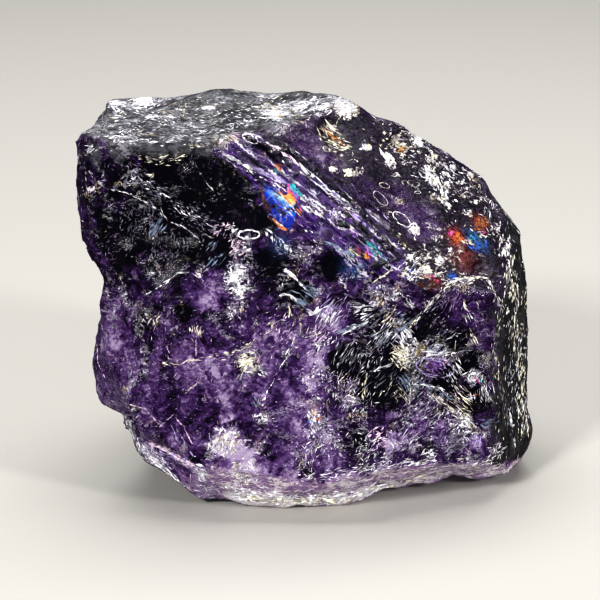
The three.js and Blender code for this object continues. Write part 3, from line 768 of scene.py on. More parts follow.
@dataclass(frozen=True)
class SoftLight:
    """A soft box, by where it hangs, how large it is and how strongly it shines.

    Attributes:
        name: What it is called.
        at: Its middle, in metres.
        size: Its sides, in metres.
        power: Its power, in watts.
        colour: The colour of its light.
        mirrored: Whether glossy surfaces mirror it.
    """

    name: str
    at: Place
    size: tuple[float, float]
    power: float
    colour: tuple[float, float, float] = (1.0, 1.0, 1.0)
    mirrored: bool = True

    def hang(self) -> bpy.types.Object:
        """Adds the light to the scene, turned to the stone.

        Returns:
            The light object.
        """
        data = bpy.data.lights.new(self.name, "AREA")
        data.shape = "RECTANGLE"
        data.size, data.size_y = self.size
        data.energy = self.power
        data.color = self.colour
        light = bpy.data.objects.new(self.name, data)
        light.location = self.at
        light.visible_glossy = self.mirrored
        towards = Vector(STONE_MIDDLE) - light.location
        light.rotation_euler = towards.to_track_quat("-Z", "Y").to_euler()
        bpy.context.scene.collection.objects.link(light)
        return light


@dataclass
class Studio:
    """A plain pale floor under soft studio light."""

    floor_size: float = 6.0
    floor_colour: Colour = (0.4, 0.388, 0.36, 1.0)
    floor_roughness: float = 0.55
    room_colour: Colour = (0.9, 0.93, 1.0, 1.0)
    room_strength: float = 0.17
    lights: tuple[SoftLight, ...] = (
        SoftLight("overhead", (0.0, 0.1, 0.5), (0.45, 0.3), 2.7),
        SoftLight("front left", (-0.35, -0.45, 0.45), (0.1, 0.1), 3.2),
        SoftLight("front right", (0.45, -0.3, 0.3), (0.06, 0.15), 1.8),
        SoftLight("front low", (0.12, -0.6, 0.05), (0.3, 0.1), 1.6, mirrored=False),
    )

    def build(self) -> None:
        """Lays the floor, lights the room and hangs the soft boxes."""
        grid = bmesh.new()
        bmesh.ops.create_grid(grid, x_segments=1, y_segments=1, size=self.floor_size / 2)
        floor = object_of(grid, "floor")
        floor.data.materials.append(self.floor_finish())
        floor.visible_glossy = False
        world = bpy.data.worlds.new("room")
        world.use_nodes = True
        background = world.node_tree.nodes["Background"]
        background.inputs["Color"].default_value = self.room_colour
        background.inputs["Strength"].default_value = self.room_strength
        bpy.context.scene.world = world
        for light in self.lights:
            light.hang()
        bpy.context.scene.view_settings.view_transform = "Standard"
        bpy.context.scene.view_settings.look = "High Contrast"

    def floor_finish(self) -> bpy.types.Material:
        """Makes the floor's plain matte material.

        Returns:
            The material.
        """
        material = bpy.data.materials.new("pale_floor")
        material.use_nodes = True
        shader = material.node_tree.nodes["Principled BSDF"]
        shader.inputs["Base Color"].default_value = self.floor_colour
        shader.inputs["Roughness"].default_value = self.floor_roughness
        return material


def object_of(mesh: bmesh.types.BMesh, name: str) -> bpy.types.Object:
    """Turns a bmesh into an object at the origin, and frees the bmesh.

    Args:
        mesh: The finished bmesh.
        name: What the object and its mesh are called.

    Returns:
        The new object, linked to the scene.
    """
    data = bpy.data.meshes.new(name)
    mesh.to_mesh(data)
    mesh.free()
    made = bpy.data.objects.new(name, data)
    bpy.context.scene.collection.objects.link(made)
    return made


class Signal:
    """An output in a node tree, which Math nodes add, take away and multiply as numbers are."""

    def __init__(self, wiring: "Wiring", socket: bpy.types.NodeSocket) -> None:
        """Holds the output and the tree's wiring."""
        self.wiring = wiring
        self.socket = socket

    def __add__(self, other: "Value") -> "Signal":
        """Adds to it."""
        return self.wiring.maths("ADD", self, other)

    def __sub__(self, other: "Value") -> "Signal":
        """Takes from it."""
        return self.wiring.maths("SUBTRACT", self, other)

    def __rsub__(self, other: float) -> "Signal":
        """Takes it from a number."""
        return self.wiring.maths("SUBTRACT", other, self)

    def __mul__(self, other: "Value") -> "Signal":
        """Multiplies it."""
        return self.wiring.maths("MULTIPLY", self, other)

    def __or__(self, other: "Value") -> "Signal":
        """Takes the greater of the two, as where either of two masks shows."""
        return self.wiring.maths("MAXIMUM", self, other)


Value = Signal | float
Fed = Signal | float | Place | Colour
Marks = dict[Mark, Signal]
Stops = tuple[tuple[float, Colour], ...]


class Wiring:
    """A short way to write down a node tree."""

    def __init__(self, tree: bpy.types.NodeTree) -> None:
        """Starts with the tree that nodes are added to."""
        self.tree = tree

    def feed(self, node: bpy.types.Node, values: dict[str | int, Fed]) -> None:
        """Links outputs to a node's inputs, or sets the inputs' own values.

        Args:
            node: The node.
            values: What feeds each input, by its name or number.
        """
        for key, value in values.items():
            if isinstance(value, Signal):
                self.tree.links.new(value.socket, node.inputs[key])
            else:
                node.inputs[key].default_value = value

    def add(self, kind: str, settings: dict | None = None, **inputs: Fed) -> bpy.types.Node:
        """Adds a node and feeds its inputs.

        Args:
            kind: The node's type.
            settings: Its own settings, by name.
            **inputs: What feeds each input, by its name with underscores.

        Returns:
            The new node.
        """
        node = self.tree.nodes.new(kind)
        for name, value in (settings or {}).items():
            setattr(node, name, value)
        self.feed(node, {name.replace("_", " "): value for name, value in inputs.items()})
        return node

    def signal(self, kind: str, out: str | int, settings: dict | None = None, **inputs: Fed) -> Signal:
        """Adds a node and gives one of its outputs."""
        return Signal(self, self.add(kind, settings, **inputs).outputs[out])

    def maths(self, operation: str, *values: Value) -> Signal:
        """Adds a sum on numbers.

        Args:
            operation: The sum.
            *values: What it reads.

        Returns:
            The result.
        """
        node = self.add("ShaderNodeMath", {"operation": operation})
        self.feed(node, dict(enumerate(values)))
        return Signal(self, node.outputs[0])

    def vectors(self, operation: str, *values: Signal | Place, out: int = 0, **inputs: Value) -> Signal:
        """Adds a sum on vectors.

        Args:
            operation: The sum.
            *values: The vectors that it reads.
            out: The output that holds the result, 1 where that is a number.
            **inputs: What else it reads, by name.

        Returns:
            The result.
        """
        node = self.add("ShaderNodeVectorMath", {"operation": operation}, **inputs)
        self.feed(node, dict(enumerate(values)))
        return Signal(self, node.outputs[out])

    def noise(
        self, vector: Signal, scale: Value, detail: float, roughness: float = 0.5, warp: float = 0.0
    ) -> Signal:
        """Adds smooth noise and gives its number."""
        inputs = {"Vector": vector, "Scale": scale, "Detail": detail, "Roughness": roughness}
        return self.signal("ShaderNodeTexNoise", "Fac", **inputs, Distortion=warp)

    def mapped(self, vector: Signal, scale: Place, turn: Place = (0, 0, 0)) -> Signal:
        """Adds a mapping that turns and stretches coordinates."""
        return self.signal("ShaderNodeMapping", 0, Vector=vector, Scale=scale, Rotation=turn)

    def span(
        self, value: Signal, low: Value, high: Value, to_low: float = 0.0, to_high: float = 1.0
    ) -> Signal:
        """Maps a number smoothly from one range to another, and keeps it there.

        Args:
            value: The number.
            low: The start of its range.
            high: The end of its range.
            to_low: What the start becomes.
            to_high: What the end becomes.

        Returns:
            The result.
        """
        inputs = {"Value": value, "From_Min": low, "From_Max": high, "To_Min": to_low, "To_Max": to_high}
        smooth = {"interpolation_type": "SMOOTHSTEP"}
        return self.signal("ShaderNodeMapRange", "Result", smooth, **inputs)

    def blend(self, factor: Value, first: Fed, second: Fed, kind: str = "RGBA") -> Signal:
        """Mixes two colours or two vectors.

        Args:
            factor: The second one's share.
            first: The first.
            second: The second.
            kind: RGBA for colours or VECTOR for vectors.

        Returns:
            The mix.
        """
        node = self.add("ShaderNodeMix", {"data_type": kind})
        one, two, out = (6, 7, 2) if kind == "RGBA" else (4, 5, 1)
        self.feed(node, {0: factor, one: first, two: second})
        return Signal(self, node.outputs[out])

    def ramp(self, value: Signal, stops: Stops) -> Signal:
        """Adds a colour ramp.

        Args:
            value: What it reads.
            stops: The places of its colours, and the colours.

        Returns:
            The colour.
        """
        ramp = self.add("ShaderNodeValToRGB", Fac=value)
        elements = ramp.color_ramp.elements
        elements.remove(elements[0])
        elements[0].position, elements[0].color = stops[0]
        for position, colour in stops[1:]:
            elements.new(position).color = colour
        return Signal(self, ramp.outputs["Color"])


def new_group(
    name: str, numbers: dict[str, float], masks: tuple[str, ...]
) -> tuple[Wiring, bpy.types.Node, list[Signal]]:
    """Starts a shader node group that reads a vector and numbers.

    Args:
        name: The group's name.
        numbers: The default of each number that it reads.
        masks: The names of the numbers that it puts out.

    Returns:
        The wiring of the group's tree, the node that its masks leave by, and what it reads.
    """
    tree = bpy.data.node_groups.new(name, "ShaderNodeTree")
    tree.interface.new_socket("Vector", in_out="INPUT", socket_type="NodeSocketVector")
    for title, default in numbers.items():
        socket = tree.interface.new_socket(title, in_out="INPUT", socket_type="NodeSocketFloat")
        socket.default_value = default
    for title in masks:
        tree.interface.new_socket(title, in_out="OUTPUT", socket_type="NodeSocketFloat")
    w = Wiring(tree)
    start, end = w.add("NodeGroupInput"), w.add("NodeGroupOutput")
    return w, end, [Signal(w, start.outputs[title]) for title in ("Vector", *numbers)]


def strokes_group() -> bpy.types.NodeTree:
    """Makes the group that draws the short bright strokes of broken quartz.

    Returns:
        The node group: Mask is 1 on a stroke, and Grain the noise that draws them.
    """
    numbers = {"Scale": 2500.0, "Amount": 0.3}
    w, end, (vector, scale, amount) = new_group("quartz strokes", numbers, ("Mask", "Grain"))
    grain = w.noise(vector, scale, 1.5, 0.6)
    bar = 0.74 - amount * 0.28
    w.feed(end, {"Mask": w.span(grain, bar, bar + 0.05), "Grain": grain})
    return w.tree


def threads_group() -> bpy.types.NodeTree:
    """Makes the group that draws thin wriggling threads, as crushed quartz shows them.

    Returns:
        The node group, whose Mask is 1 on a thread.
    """
    numbers = {"Scale": 900.0, "Amount": 0.3, "Width": 0.02}
    w, end, (vector, scale, amount, width) = new_group("quartz threads", numbers, ("Mask",))
    off = w.maths("ABSOLUTE", w.noise(vector, scale, 2.0, 0.7, 1.2) - 0.5)
    thin = w.span(off, width * 0.4, width, 1.0, 0.0)
    bar = 0.68 - amount * 0.45
    gate = w.span(w.noise(vector, scale * 0.9, 2.0, 0.6), bar, bar + 0.05)
    w.feed(end, {"Mask": thin * gate})
    return w.tree


@dataclass(frozen=True)
class AmethystQuartz:
    """The stone's finish: violet glass with crushed veins, weathered where it has lain open."""

    body: Stops = (
        (0.0, (0.002, 0.001, 0.005, 1)),
        (0.25, (0.013, 0.004, 0.024, 1)),
        (0.5, (0.065, 0.024, 0.115, 1)),
        (0.75, (0.19, 0.105, 0.27, 1)),
        (1.0, (0.52, 0.41, 0.6, 1)),
    )
    white: Colour = (0.97, 0.94, 1.0, 1)
    cream: Colour = (0.95, 0.8, 0.55, 1)
    frost_dark: Colour = (0.022, 0.022, 0.026, 1)
    frost_grey: Colour = (0.14, 0.14, 0.155, 1)
    skin_dark: Colour = (0.004, 0.002, 0.007, 1)
    skin_grey: Colour = (0.08, 0.045, 0.115, 1)
    # The colours of the painted orange and blue glints.
    ember: Colour = (0.75, 0.13, 0.05, 1)
    azure: Colour = (0.05, 0.2, 0.5, 1)
    strip_dark: Colour = (0.012, 0.0115, 0.013, 1)
    strip_grey: Colour = (0.055, 0.052, 0.055, 1)
    milk_violet: Colour = (0.34, 0.2, 0.4, 1)
    milk: Colour = (0.98, 0.9, 0.92, 1)
    steps: Stops = (
        (0.38, (0.003, 0.001, 0.008, 1)),
        (0.46, (0.03, 0.008, 0.09, 1)),
        (0.5, (0.16, 0.07, 0.3, 1)),
        (0.55, (0.006, 0.002, 0.015, 1)),
        (0.58, (0.4, 0.34, 0.55, 1)),
        (0.6, (0.95, 0.93, 1.0, 1)),
        (0.63, (0.95, 0.93, 1.0, 1)),
        (0.65, (0.02, 0.006, 0.05, 1)),
    )
    film: Stops = (
        (0.0, (0.2, 0.02, 0.02, 1)),
        (0.08, (0.9, 0.3, 0.02, 1)),
        (0.15, (0.02, 0.03, 0.2, 1)),
        (0.33, (0.01, 0.06, 0.6, 1)),
        (0.46, (0.02, 0.25, 0.9, 1)),
        (0.53, (0.5, 0.8, 0.9, 1)),
        (0.61, (0.9, 0.7, 0.2, 1)),
        (0.71, (0.9, 0.25, 0.02, 1)),
        (0.79, (0.5, 0.02, 0.6, 1)),
        (0.88, (0.02, 0.45, 0.55, 1)),
        (1.0, (0.06, 0.01, 0.12, 1)),
    )
    # Painted glow: the thin-film colours also shine by emission, as no lamp lights them.
    film_painted_glow: float = 0.15
    film_turns_per_metre: float = 150.0
    film_start: float = 0.764
    refractive_index: float = 1.544
    glassy_roughness: float = 0.06
    weathered_roughness: float = 0.5
    fleck_roughness: float = 0.3
    bump_strength: float = 0.35
    bump_metres: float = 0.00025
    specular_level: float = 0.06
    transmission: float = 0.5
    absorption: Colour = (0.5, 0.22, 0.66, 1)
    absorption_per_metre: float = 150.0
    mottle_per_metre: float = 3400.0
    slabs_per_metre: float = 330.0
    chips_per_metre: float = 800.0
    streaks_per_metre: float = 1000.0
    shards_per_metre: float = 2600.0
    strokes_per_metre: float = 3000.0
    blots_per_metre: float = 1400.0
    threads_per_metre: float = 900.0
    hairs_per_metre: float = 1500.0
    stirred_metres: float = 0.0005
    full_turn: float = 6.28

    def material(self) -> bpy.types.Material:
        """Wires up the stone's material.

        Returns:
            The material.
        """
        material = bpy.data.materials.new("amethyst_quartz")
        material.use_nodes = True
        w = Wiring(material.node_tree)
        place = w.signal("ShaderNodeTexCoord", "Object")
        named = {mark: {"attribute_name": mark.value} for mark in Mark}
        marks = {mark: w.signal("ShaderNodeAttribute", "Fac", name) for mark, name in named.items()}
        stirred = self.stirred(w, place)
        mottle = w.noise(w.mapped(stirred, (0.5, 1, 1), (0, 0.9, 0)), self.mottle_per_metre, 3.0, 0.7)
        _, slab = self.facets(w, w.mapped(stirred, (1, 1, 0.5), (0.3, 0.75, 0.2)), self.slabs_per_metre)
        turns, chip = self.facets(w, stirred, self.chips_per_metre)
        uneven = slab[0] * 0.24 + chip[0] * 0.2 - 0.22
        flecks, grain = self.flecks(w, stirred, turns, slab[1], marks)
        colour = self.body_colour(w, mottle, uneven + grain, marks)
        colour, painted_light_colour = self.ridge_colour(w, stirred, colour, mottle, marks)
        crumb = (mottle - 0.55) * 3.0 + grain * 3.0 + marks[Mark.CRUMB]
        flecks = flecks | w.span(crumb, 0.42, 0.58) * w.span(marks[Mark.CRUMB], 0.05, 0.3)
        dull = marks[Mark.FROST] | marks[Mark.SKIN] * 0.6 | marks[Mark.STRIP]
        rough = w.span(dull, 0.0, 1.0, self.glassy_roughness, self.weathered_roughness)
        bump = {"Strength": self.bump_strength, "Distance": self.bump_metres, "Height": mottle}
        finish = {
            "Base Color": w.blend(flecks, colour, self.bright_colour(w, chip[1], marks)),
            "Roughness": rough + flecks * self.fleck_roughness,
            "IOR": self.refractive_index,
            "Specular IOR Level": self.specular_level,
            "Transmission Weight": self.transmission,
            # Painted glow: the film's colour goes into the emission.
            "Emission Color": painted_light_colour,
            "Emission Strength": self.film_painted_glow,
            "Normal": w.signal("ShaderNodeBump", "Normal", **bump),
        }
        w.feed(material.node_tree.nodes["Principled BSDF"], finish)
        depths = {"Color": self.absorption, "Density": self.absorption_per_metre}
        volume = w.signal("ShaderNodeVolumeAbsorption", 0, **depths)
        w.feed(material.node_tree.nodes["Material Output"], {"Volume": volume})
        return material

    def ridge_colour(
        self, w: Wiring, stirred: Signal, colour: Signal, mottle: Signal, marks: Marks
    ) -> tuple[Signal, Signal]:
        """Lays the streaks of the ledges and the thin-film colours over the body, and gives the film's colour
        again as a painted glow.

        Args:
            w: The material's wiring.
            stirred: The stirred coordinates.
            colour: The body's colour.
            mottle: The fine noise.
            marks: The amounts by mark.

        Returns:
            The colour with both, and the film's colour as a painted glow for the emission.
        """
        along, across = (w.vectors("DOT_PRODUCT", stirred, way, out=1) for way in (RIDGE_ALONG, RIDGE_ACROSS))
        drawn = w.signal("ShaderNodeCombineXYZ", 0, X=along * 0.12, Y=across)
        streaks = w.noise(drawn, self.streaks_per_metre, 2.0, 0.7)
        colour = w.blend(w.span(marks[Mark.LEDGE], 0.2, 0.7), colour, w.ramp(streaks, self.steps))
        phase = across * self.film_turns_per_metre + streaks * 0.3 + self.film_start
        film = w.ramp(w.maths("FRACT", phase), self.film)
        ragged = (w.noise(drawn, self.shards_per_metre, 1.0) - 0.5) * 3.0 + 1.0
        share = w.span(marks[Mark.RAINBOW] * ragged, 0.3, 0.6) * w.span(mottle, 0.34, 0.5, 0.4, 0.95)
        return w.blend(share, colour, film), w.blend(share, (0, 0, 0, 1), film)

    def stirred(self, w: Wiring, place: Signal) -> Signal:
        """Stirs the coordinates by about a tenth of a millimetre, so that no edge is smooth.

        Args:
            w: The material's wiring.
            place: The object coordinates.

        Returns:
            The stirred coordinates.
        """
        inputs = {"Vector": place, "Scale": self.shards_per_metre, "Detail": 1.0}
        stir = w.vectors("SUBTRACT", w.signal("ShaderNodeTexNoise", "Color", **inputs), (0.5, 0.5, 0.5))
        return w.vectors("ADD", place, w.vectors("SCALE", stir, Scale=self.stirred_metres))

    def facets(self, w: Wiring, vector: Signal, per_metre: float) -> tuple[Signal, list[Signal]]:
        """Divides the quartz into facets with sharp edges.

        Args:
            w: The material's wiring.
            vector: The coordinates.
            per_metre: How many facets there are along a metre.

        Returns:
            Each facet's own colour, and that colour's numbers.
        """
        colour = w.signal("ShaderNodeTexVoronoi", "Color", Vector=vector, Scale=per_metre)
        parts = w.add("ShaderNodeSeparateColor", Color=colour).outputs
        return colour, [Signal(w, part) for part in parts]

    def flecks(
        self, w: Wiring, stirred: Signal, turns: Signal, clear: Signal, marks: Marks
    ) -> tuple[Signal, Signal]:
        """Draws the bright strokes and threads, lengthened the way each facet or face has them.

        Args:
            w: The material's wiring.
            stirred: The stirred coordinates.
            turns: A colour that says how each facet's strokes are turned.
            clear: A number that is low on a facet with few strokes.
            marks: The amounts by mark.

        Returns:
            The mask of all strokes, and their grain.
        """
        angles = w.vectors("SCALE", turns, Scale=self.full_turn)
        by_angles = {"rotation_type": "EULER_XYZ"}
        turned = w.signal("ShaderNodeVectorRotate", 0, by_angles, Vector=stirred, Rotation=angles)
        drawn = w.vectors("MULTIPLY", turned, (1, 1, 0.2))
        level = marks[Mark.FROST] | w.span(marks[Mark.MILK], 0.4, 0.6)
        along = w.blend(level, drawn, w.mapped(stirred, (0.3, 1, 1)), "VECTOR")
        along = w.blend(marks[Mark.SKIN], along, stirred, "VECTOR")
        along = w.blend(marks[Mark.STRIP], along, w.mapped(stirred, (0.8, 0.8, 0.2)), "VECTOR")
        amount = marks[Mark.FLECK] + (clear - 0.5) * 0.35
        strokes, threads = ({"node_tree": group} for group in (strokes_group(), threads_group()))
        fine, coarse = (
            w.add("ShaderNodeGroup", strokes, Vector=along, Scale=scale, Amount=some)
            for scale, some in ((self.strokes_per_metre, amount), (self.blots_per_metre, amount * 0.55))
        )
        mask = Signal(w, fine.outputs["Mask"]) | Signal(w, coarse.outputs["Mask"])
        mask = mask * w.span(amount, 0.05, 0.5, 0.2, 1.0) * w.span(marks[Mark.STRIP], 0.3, 0.8, 1.0, 0.1)
        grain = Signal(w, fine.outputs["Grain"]) * 0.6 + Signal(w, coarse.outputs["Grain"])
        leaning = w.mapped(stirred, (0.5, 1, 1), (0, -0.66, 0))
        winding, hairs = (
            w.signal("ShaderNodeGroup", "Mask", threads, Vector=way, Scale=scale, Amount=some, Width=width)
            for way, scale, some, width in (
                (leaning, self.threads_per_metre, amount + marks[Mark.SKIN] * 0.2, 0.035),
                (drawn, self.hairs_per_metre, amount + 0.12, 0.06),
            )
        )
        winding = winding * w.span(marks[Mark.SKIN], 0.0, 1.0, 0.35, 1.0)
        winding = winding | hairs * w.span(amount, 0.0, 0.5, 0.06, 0.34)
        return mask | winding * w.span(marks[Mark.STRIP], 0.2, 0.6, 1.0, 0.0), grain - 0.8

    def body_colour(self, w: Wiring, mottle: Signal, uneven: Signal, marks: Marks) -> Signal:
        """Colours the quartz's body, its weathered faces and its milky bevels, and paints in the orange and
        blue glints.

        Args:
            w: The material's wiring.
            mottle: The fine noise.
            uneven: How much paler or darker each facet is.
            marks: The amounts by mark.

        Returns:
            The colour.
        """
        body = w.ramp(marks[Mark.PALE] + (mottle - 0.5) * 0.8 + uneven, self.body)
        blotches = mottle + uneven
        frost = w.blend(w.span(blotches, 0.36, 0.64), self.frost_dark, self.frost_grey)
        skin = w.blend(w.span(mottle, 0.46, 0.7), self.skin_dark, self.skin_grey)
        colour = w.blend(marks[Mark.FROST], body, frost)
        colour = w.blend(marks[Mark.SKIN], colour, skin)
        # Painted glints: orange and blue highlights blended into the colour.
        for mark, painted_light_colour in ((Mark.EMBER, self.ember), (Mark.AZURE, self.azure)):
            colour = w.blend(marks[mark] * w.span(mottle, 0.4, 0.6, 0.15, 1.3), colour, painted_light_colour)
        strip = w.blend(w.span(blotches, 0.38, 0.66), self.strip_dark, self.strip_grey)
        colour = w.blend(marks[Mark.STRIP], colour, strip)
        thick = marks[Mark.MILK] * 0.4 + uneven * 0.7 + mottle
        milk = w.blend(w.span(thick, 0.81, 1.02), self.milk_violet, self.milk)
        return w.blend(w.span(marks[Mark.MILK] + uneven, 0.25, 0.65), colour, milk)

    def bright_colour(self, w: Wiring, tone: Signal, marks: Marks) -> Signal:
        """Colours the flecks, white to cream by their own tone and by how warm the face is."""
        warm = w.span(tone, 0.75, 1.0) + marks[Mark.WARM]
        return w.blend(w.maths("MINIMUM", warm, 1.0), self.white, self.cream)


def waves(points: np.ndarray, size: float, seed: float = 0.0) -> np.ndarray:
    """Gives each point smooth noise from about -1 to 1, with bumps of a size in millimetres."""
    return np.array([noise.noise(p) for p in (points / size + seed).tolist()])


def slopes(points: np.ndarray, size: float, seed: float = 0.0) -> np.ndarray:
    """Gives each of many small cells a slope of its own, as broken quartz has them.

    Args:
        points: Points as rows, in millimetres.
        size: How large the cells are, in millimetres.
        seed: Which cells to take.

    Returns:
        A height from about -0.5 to 0.5 for each point.
    """
    heights = []
    for p in (points / size + seed).tolist():
        middle = noise.voronoi(p)[1][0]
        heights.append((Vector(p) - middle).dot(noise.noise_vector(middle * 9.7)))
    return np.array(heights)


def bowls(points: np.ndarray, size: float, seed: float = 0.0) -> np.ndarray:
    """Gives each point a depth in the hollows of a shell-like fracture, from 0 on a rim to 1."""
    nearest = np.array([noise.voronoi(p)[0][0] for p in (points / size + seed).tolist()])
    return np.clip(1 - nearest * nearest / 0.8, 0, 1)


def veins(points: np.ndarray, size: float, seed: float = 0.0) -> np.ndarray:
    """Gives a net of veins between cells.

    Args:
        points: Points as rows, in millimetres.
        size: How large the cells are, in millimetres.
        seed: Which cells to take.

    Returns:
        A number from 0 in a cell to 1 on a vein for each point.
    """
    gaps = []
    for p in (points / size + seed).tolist():
        distances = noise.voronoi(p)[0]
        gaps.append(distances[1] - distances[0])
    return np.clip(1 - np.array(gaps) * 4, 0, 1)


@dataclass
class BrokenStone:
    """The stone itself: the solid's form with the finer broken surface laid on it."""

    sight: Sight
    mesh_step_mm: float = 0.37
    ragged_mm: Spot = (2.2, 0.9)
    clouds_mm: Spot = (8.0, 3.5)
    sheets_mm: Spot = (4.5, 2.1)
    veins_mm: Spot = (5.5, 2.4)
    slabs_mm: Spot = (3.4, 1.5)
    hollows_mm: Spot = (2.8, 1.25)
    shells_mm: float = 9.0
    most_flecks: float = 0.75
    weld_m: float = 1e-6
    push_depth: float = 2.0
    floor_blend_mm: float = 3.0
    flat_foot_mm: float = 1.5
    face_blend_mm: float = 0.25
    slab_mm: float = 0.35
    chip_mm: float = 0.16
    hollow_mm: float = 0.25
    pit_mm: float = 0.1
    streak_mm: float = 0.12
    terrace_mm: float = 0.4
    terrace_width_mm: float = 1.25
    crumb_mm: float = 0.12
    shell_mm: float = 1.0
    ripple_mm: float = 0.07
    ripples: float = 20.0
    piece: bpy.types.Object | None = None

    def build(self) -> bpy.types.Object:
        """Makes the stone's piece, which stands for the solid.

        Returns:
            The piece.
        """
        self.piece = self.remeshed()
        mesh = self.piece.data
        points = np.empty(len(mesh.vertices) * 3)
        normals = np.empty(len(mesh.vertices) * 3)
        mesh.vertices.foreach_get("co", points)
        mesh.vertices.foreach_get("normal", normals)
        points = points.reshape(-1, 3) / MM
        normals = normals.reshape(-1, 3)
        pushed = points + self.moves(points) + self.filling(points)
        mesh.vertices.foreach_set("co", (pushed * MM).ravel())
        self.sight = Sight(self.sight.camera, self.piece)
        marks = self.marks(points, pushed)
        above_floor = np.clip(pushed[:, 2] / self.flat_foot_mm, 0, 1)
        ways = normals * np.stack([np.ones(len(points)), np.ones(len(points)), above_floor], axis=1)
        raised = pushed + ways * self.relief(points, normals, marks)[:, None]
        mesh.vertices.foreach_set("co", (raised * MM).ravel())
        for mark, values in marks.items():
            layer = mesh.attributes.new(mark.value, "FLOAT", "POINT")
            layer.data.foreach_set("value", values.astype(np.float32))
        mesh.polygons.foreach_set("use_smooth", [True] * len(mesh.polygons))
        mesh.materials.clear()
        mesh.materials.append(AmethystQuartz().material())
        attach(self.piece, "root")
        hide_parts(STONE)
        return self.piece

    def remeshed(self) -> bpy.types.Object:
        """Copies the solid's mesh and covers it evenly with small faces.

        Returns:
            The copy as an object.
        """
        copy = bmesh.new()
        copy.from_mesh(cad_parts[STONE].data)
        bmesh.ops.remove_doubles(copy, verts=copy.verts, dist=self.weld_m)
        stone = object_of(copy, "amethyst_crystal")
        remesh = stone.modifiers.new("even faces", "REMESH")
        remesh.mode = "VOXEL"
        remesh.voxel_size = self.mesh_step_mm * MM
        graph = bpy.context.evaluated_depsgraph_get()
        even = bpy.data.meshes.new_from_object(stone.evaluated_get(graph))
        stone.modifiers.clear()
        stone.data = even
        return stone

    def moves(self, points: np.ndarray) -> np.ndarray:
        """Works out how the pushes move each point, and keeps them above the floor.

        Args:
            points: The solid's points, in millimetres.

        Returns:
            One move for each point, in millimetres.
        """
        camera = self.sight.camera
        right = np.array([1.0, 0.0, 0.0])
        upwards = np.array(camera.back().cross(Vector(right)))
        start = np.array(camera.position())
        total = np.zeros_like(points)
        for push in pushes():
            way = np.array(camera.picture_point(push.across, push.up)) - start
            way /= np.linalg.norm(way)
            seen = (points - start) @ way
            beside = np.linalg.norm(points - start - seen[:, None] * way, axis=1)
            middle = points[np.argmin(np.maximum(beside, self.mesh_step_mm) * 100 + seen)]
            apart = points - middle
            deep = apart @ way
            flat = np.linalg.norm(apart - deep[:, None] * way, axis=1)
            away = np.hypot(flat, deep / self.push_depth) / push.radius
            total += np.exp(-away * away)[:, None] * (right * push.right + upwards * push.rise)
        lowered = total[:, 2] * np.clip(points[:, 2] / self.floor_blend_mm, 0, 1)
        total[:, 2] = np.where(total[:, 2] < 0, lowered, total[:, 2])
        return total

    def filling(self, points: np.ndarray) -> np.ndarray:
        """Works out how to fill the pit on the right strip, where the photo shows the surface whole.

        Args:
            points: The solid's points, in millimetres.

        Returns:
            One move for each point, in millimetres.
        """
        strip = next(face for face in FACES if face.name == "right strip")
        depth = -np.stack([face.height(points) for face in FACES]).max(0)
        away = np.linalg.norm(points - np.array(FILLED_PIT), axis=1)
        share = np.clip((FILLED_PIT_REACH - away) * 2, 0, 1)
        facing = np.array(strip.facing) / np.linalg.norm(strip.facing)
        return (np.clip(depth, 0, None) * share)[:, None] * facing

    def marks(self, points: np.ndarray, pushed: np.ndarray) -> dict[Mark, np.ndarray]:
        """Works out how much of each mark every point has.

        Args:
            points: The solid's points, in millimetres.
            pushed: The same points where the pushes have moved them.

        Returns:
            The amounts by mark.
        """
        wide, narrow = self.ragged_mm
        ragged = waves(points, wide) * 0.5 + waves(points, narrow, 5.0) * 0.3
        heights = np.stack([face.height(points) + ragged * (-1) ** n for n, face in enumerate(FACES)])
        shares = np.exp((heights - heights.max(0)) / self.face_blend_mm)
        shares /= shares.sum(0)
        found = {
            mark: sum(share * face.marks.get(mark, 0.0) for share, face in zip(shares, FACES))
            for mark in Mark
        }
        wide, narrow = self.clouds_mm
        clouds = waves(points, wide, 3.0) * 0.5 + waves(points, narrow, 7.0) * 0.4
        wide, narrow = self.sheets_mm
        sheets = slopes(points + ragged[:, None] * 0.5, wide, 2.0) + slopes(points, narrow, 4.0) * 0.7
        wide, narrow = self.veins_mm
        veined = veins(points + ragged[:, None] * 0.6, wide, 1.0) * 0.28
        veined += veins(points, narrow, 6.0) * 0.16
        found[Mark.PALE] += 0.4 + clouds * 0.21 + sheets * 0.28
        found[Mark.FLECK] += clouds * 0.1 + veined + np.clip(waves(points, 2.6, 11.0), -0.5, 1) * 0.2
        uneven = ragged * 0.5 + sheets * 0.7
        for patch in zones() + windows() + veils() + bursts() + crumbs() + ridge_colours():
            middle, _ = self.sight.meets(patch.across, patch.up)
            away = np.linalg.norm(pushed - np.array(middle), axis=1) / patch.radius
            if patch.mark in (Mark.EMBER, Mark.AZURE):
                share = np.exp(-away * away * 1.2)
            else:
                share = np.clip((1.15 - away + uneven) * 1.8, 0, 1)
            found[patch.mark] += patch.amount * share
        found[Mark.FLECK] = np.clip(found[Mark.FLECK], 0.0, self.most_flecks)
        return found

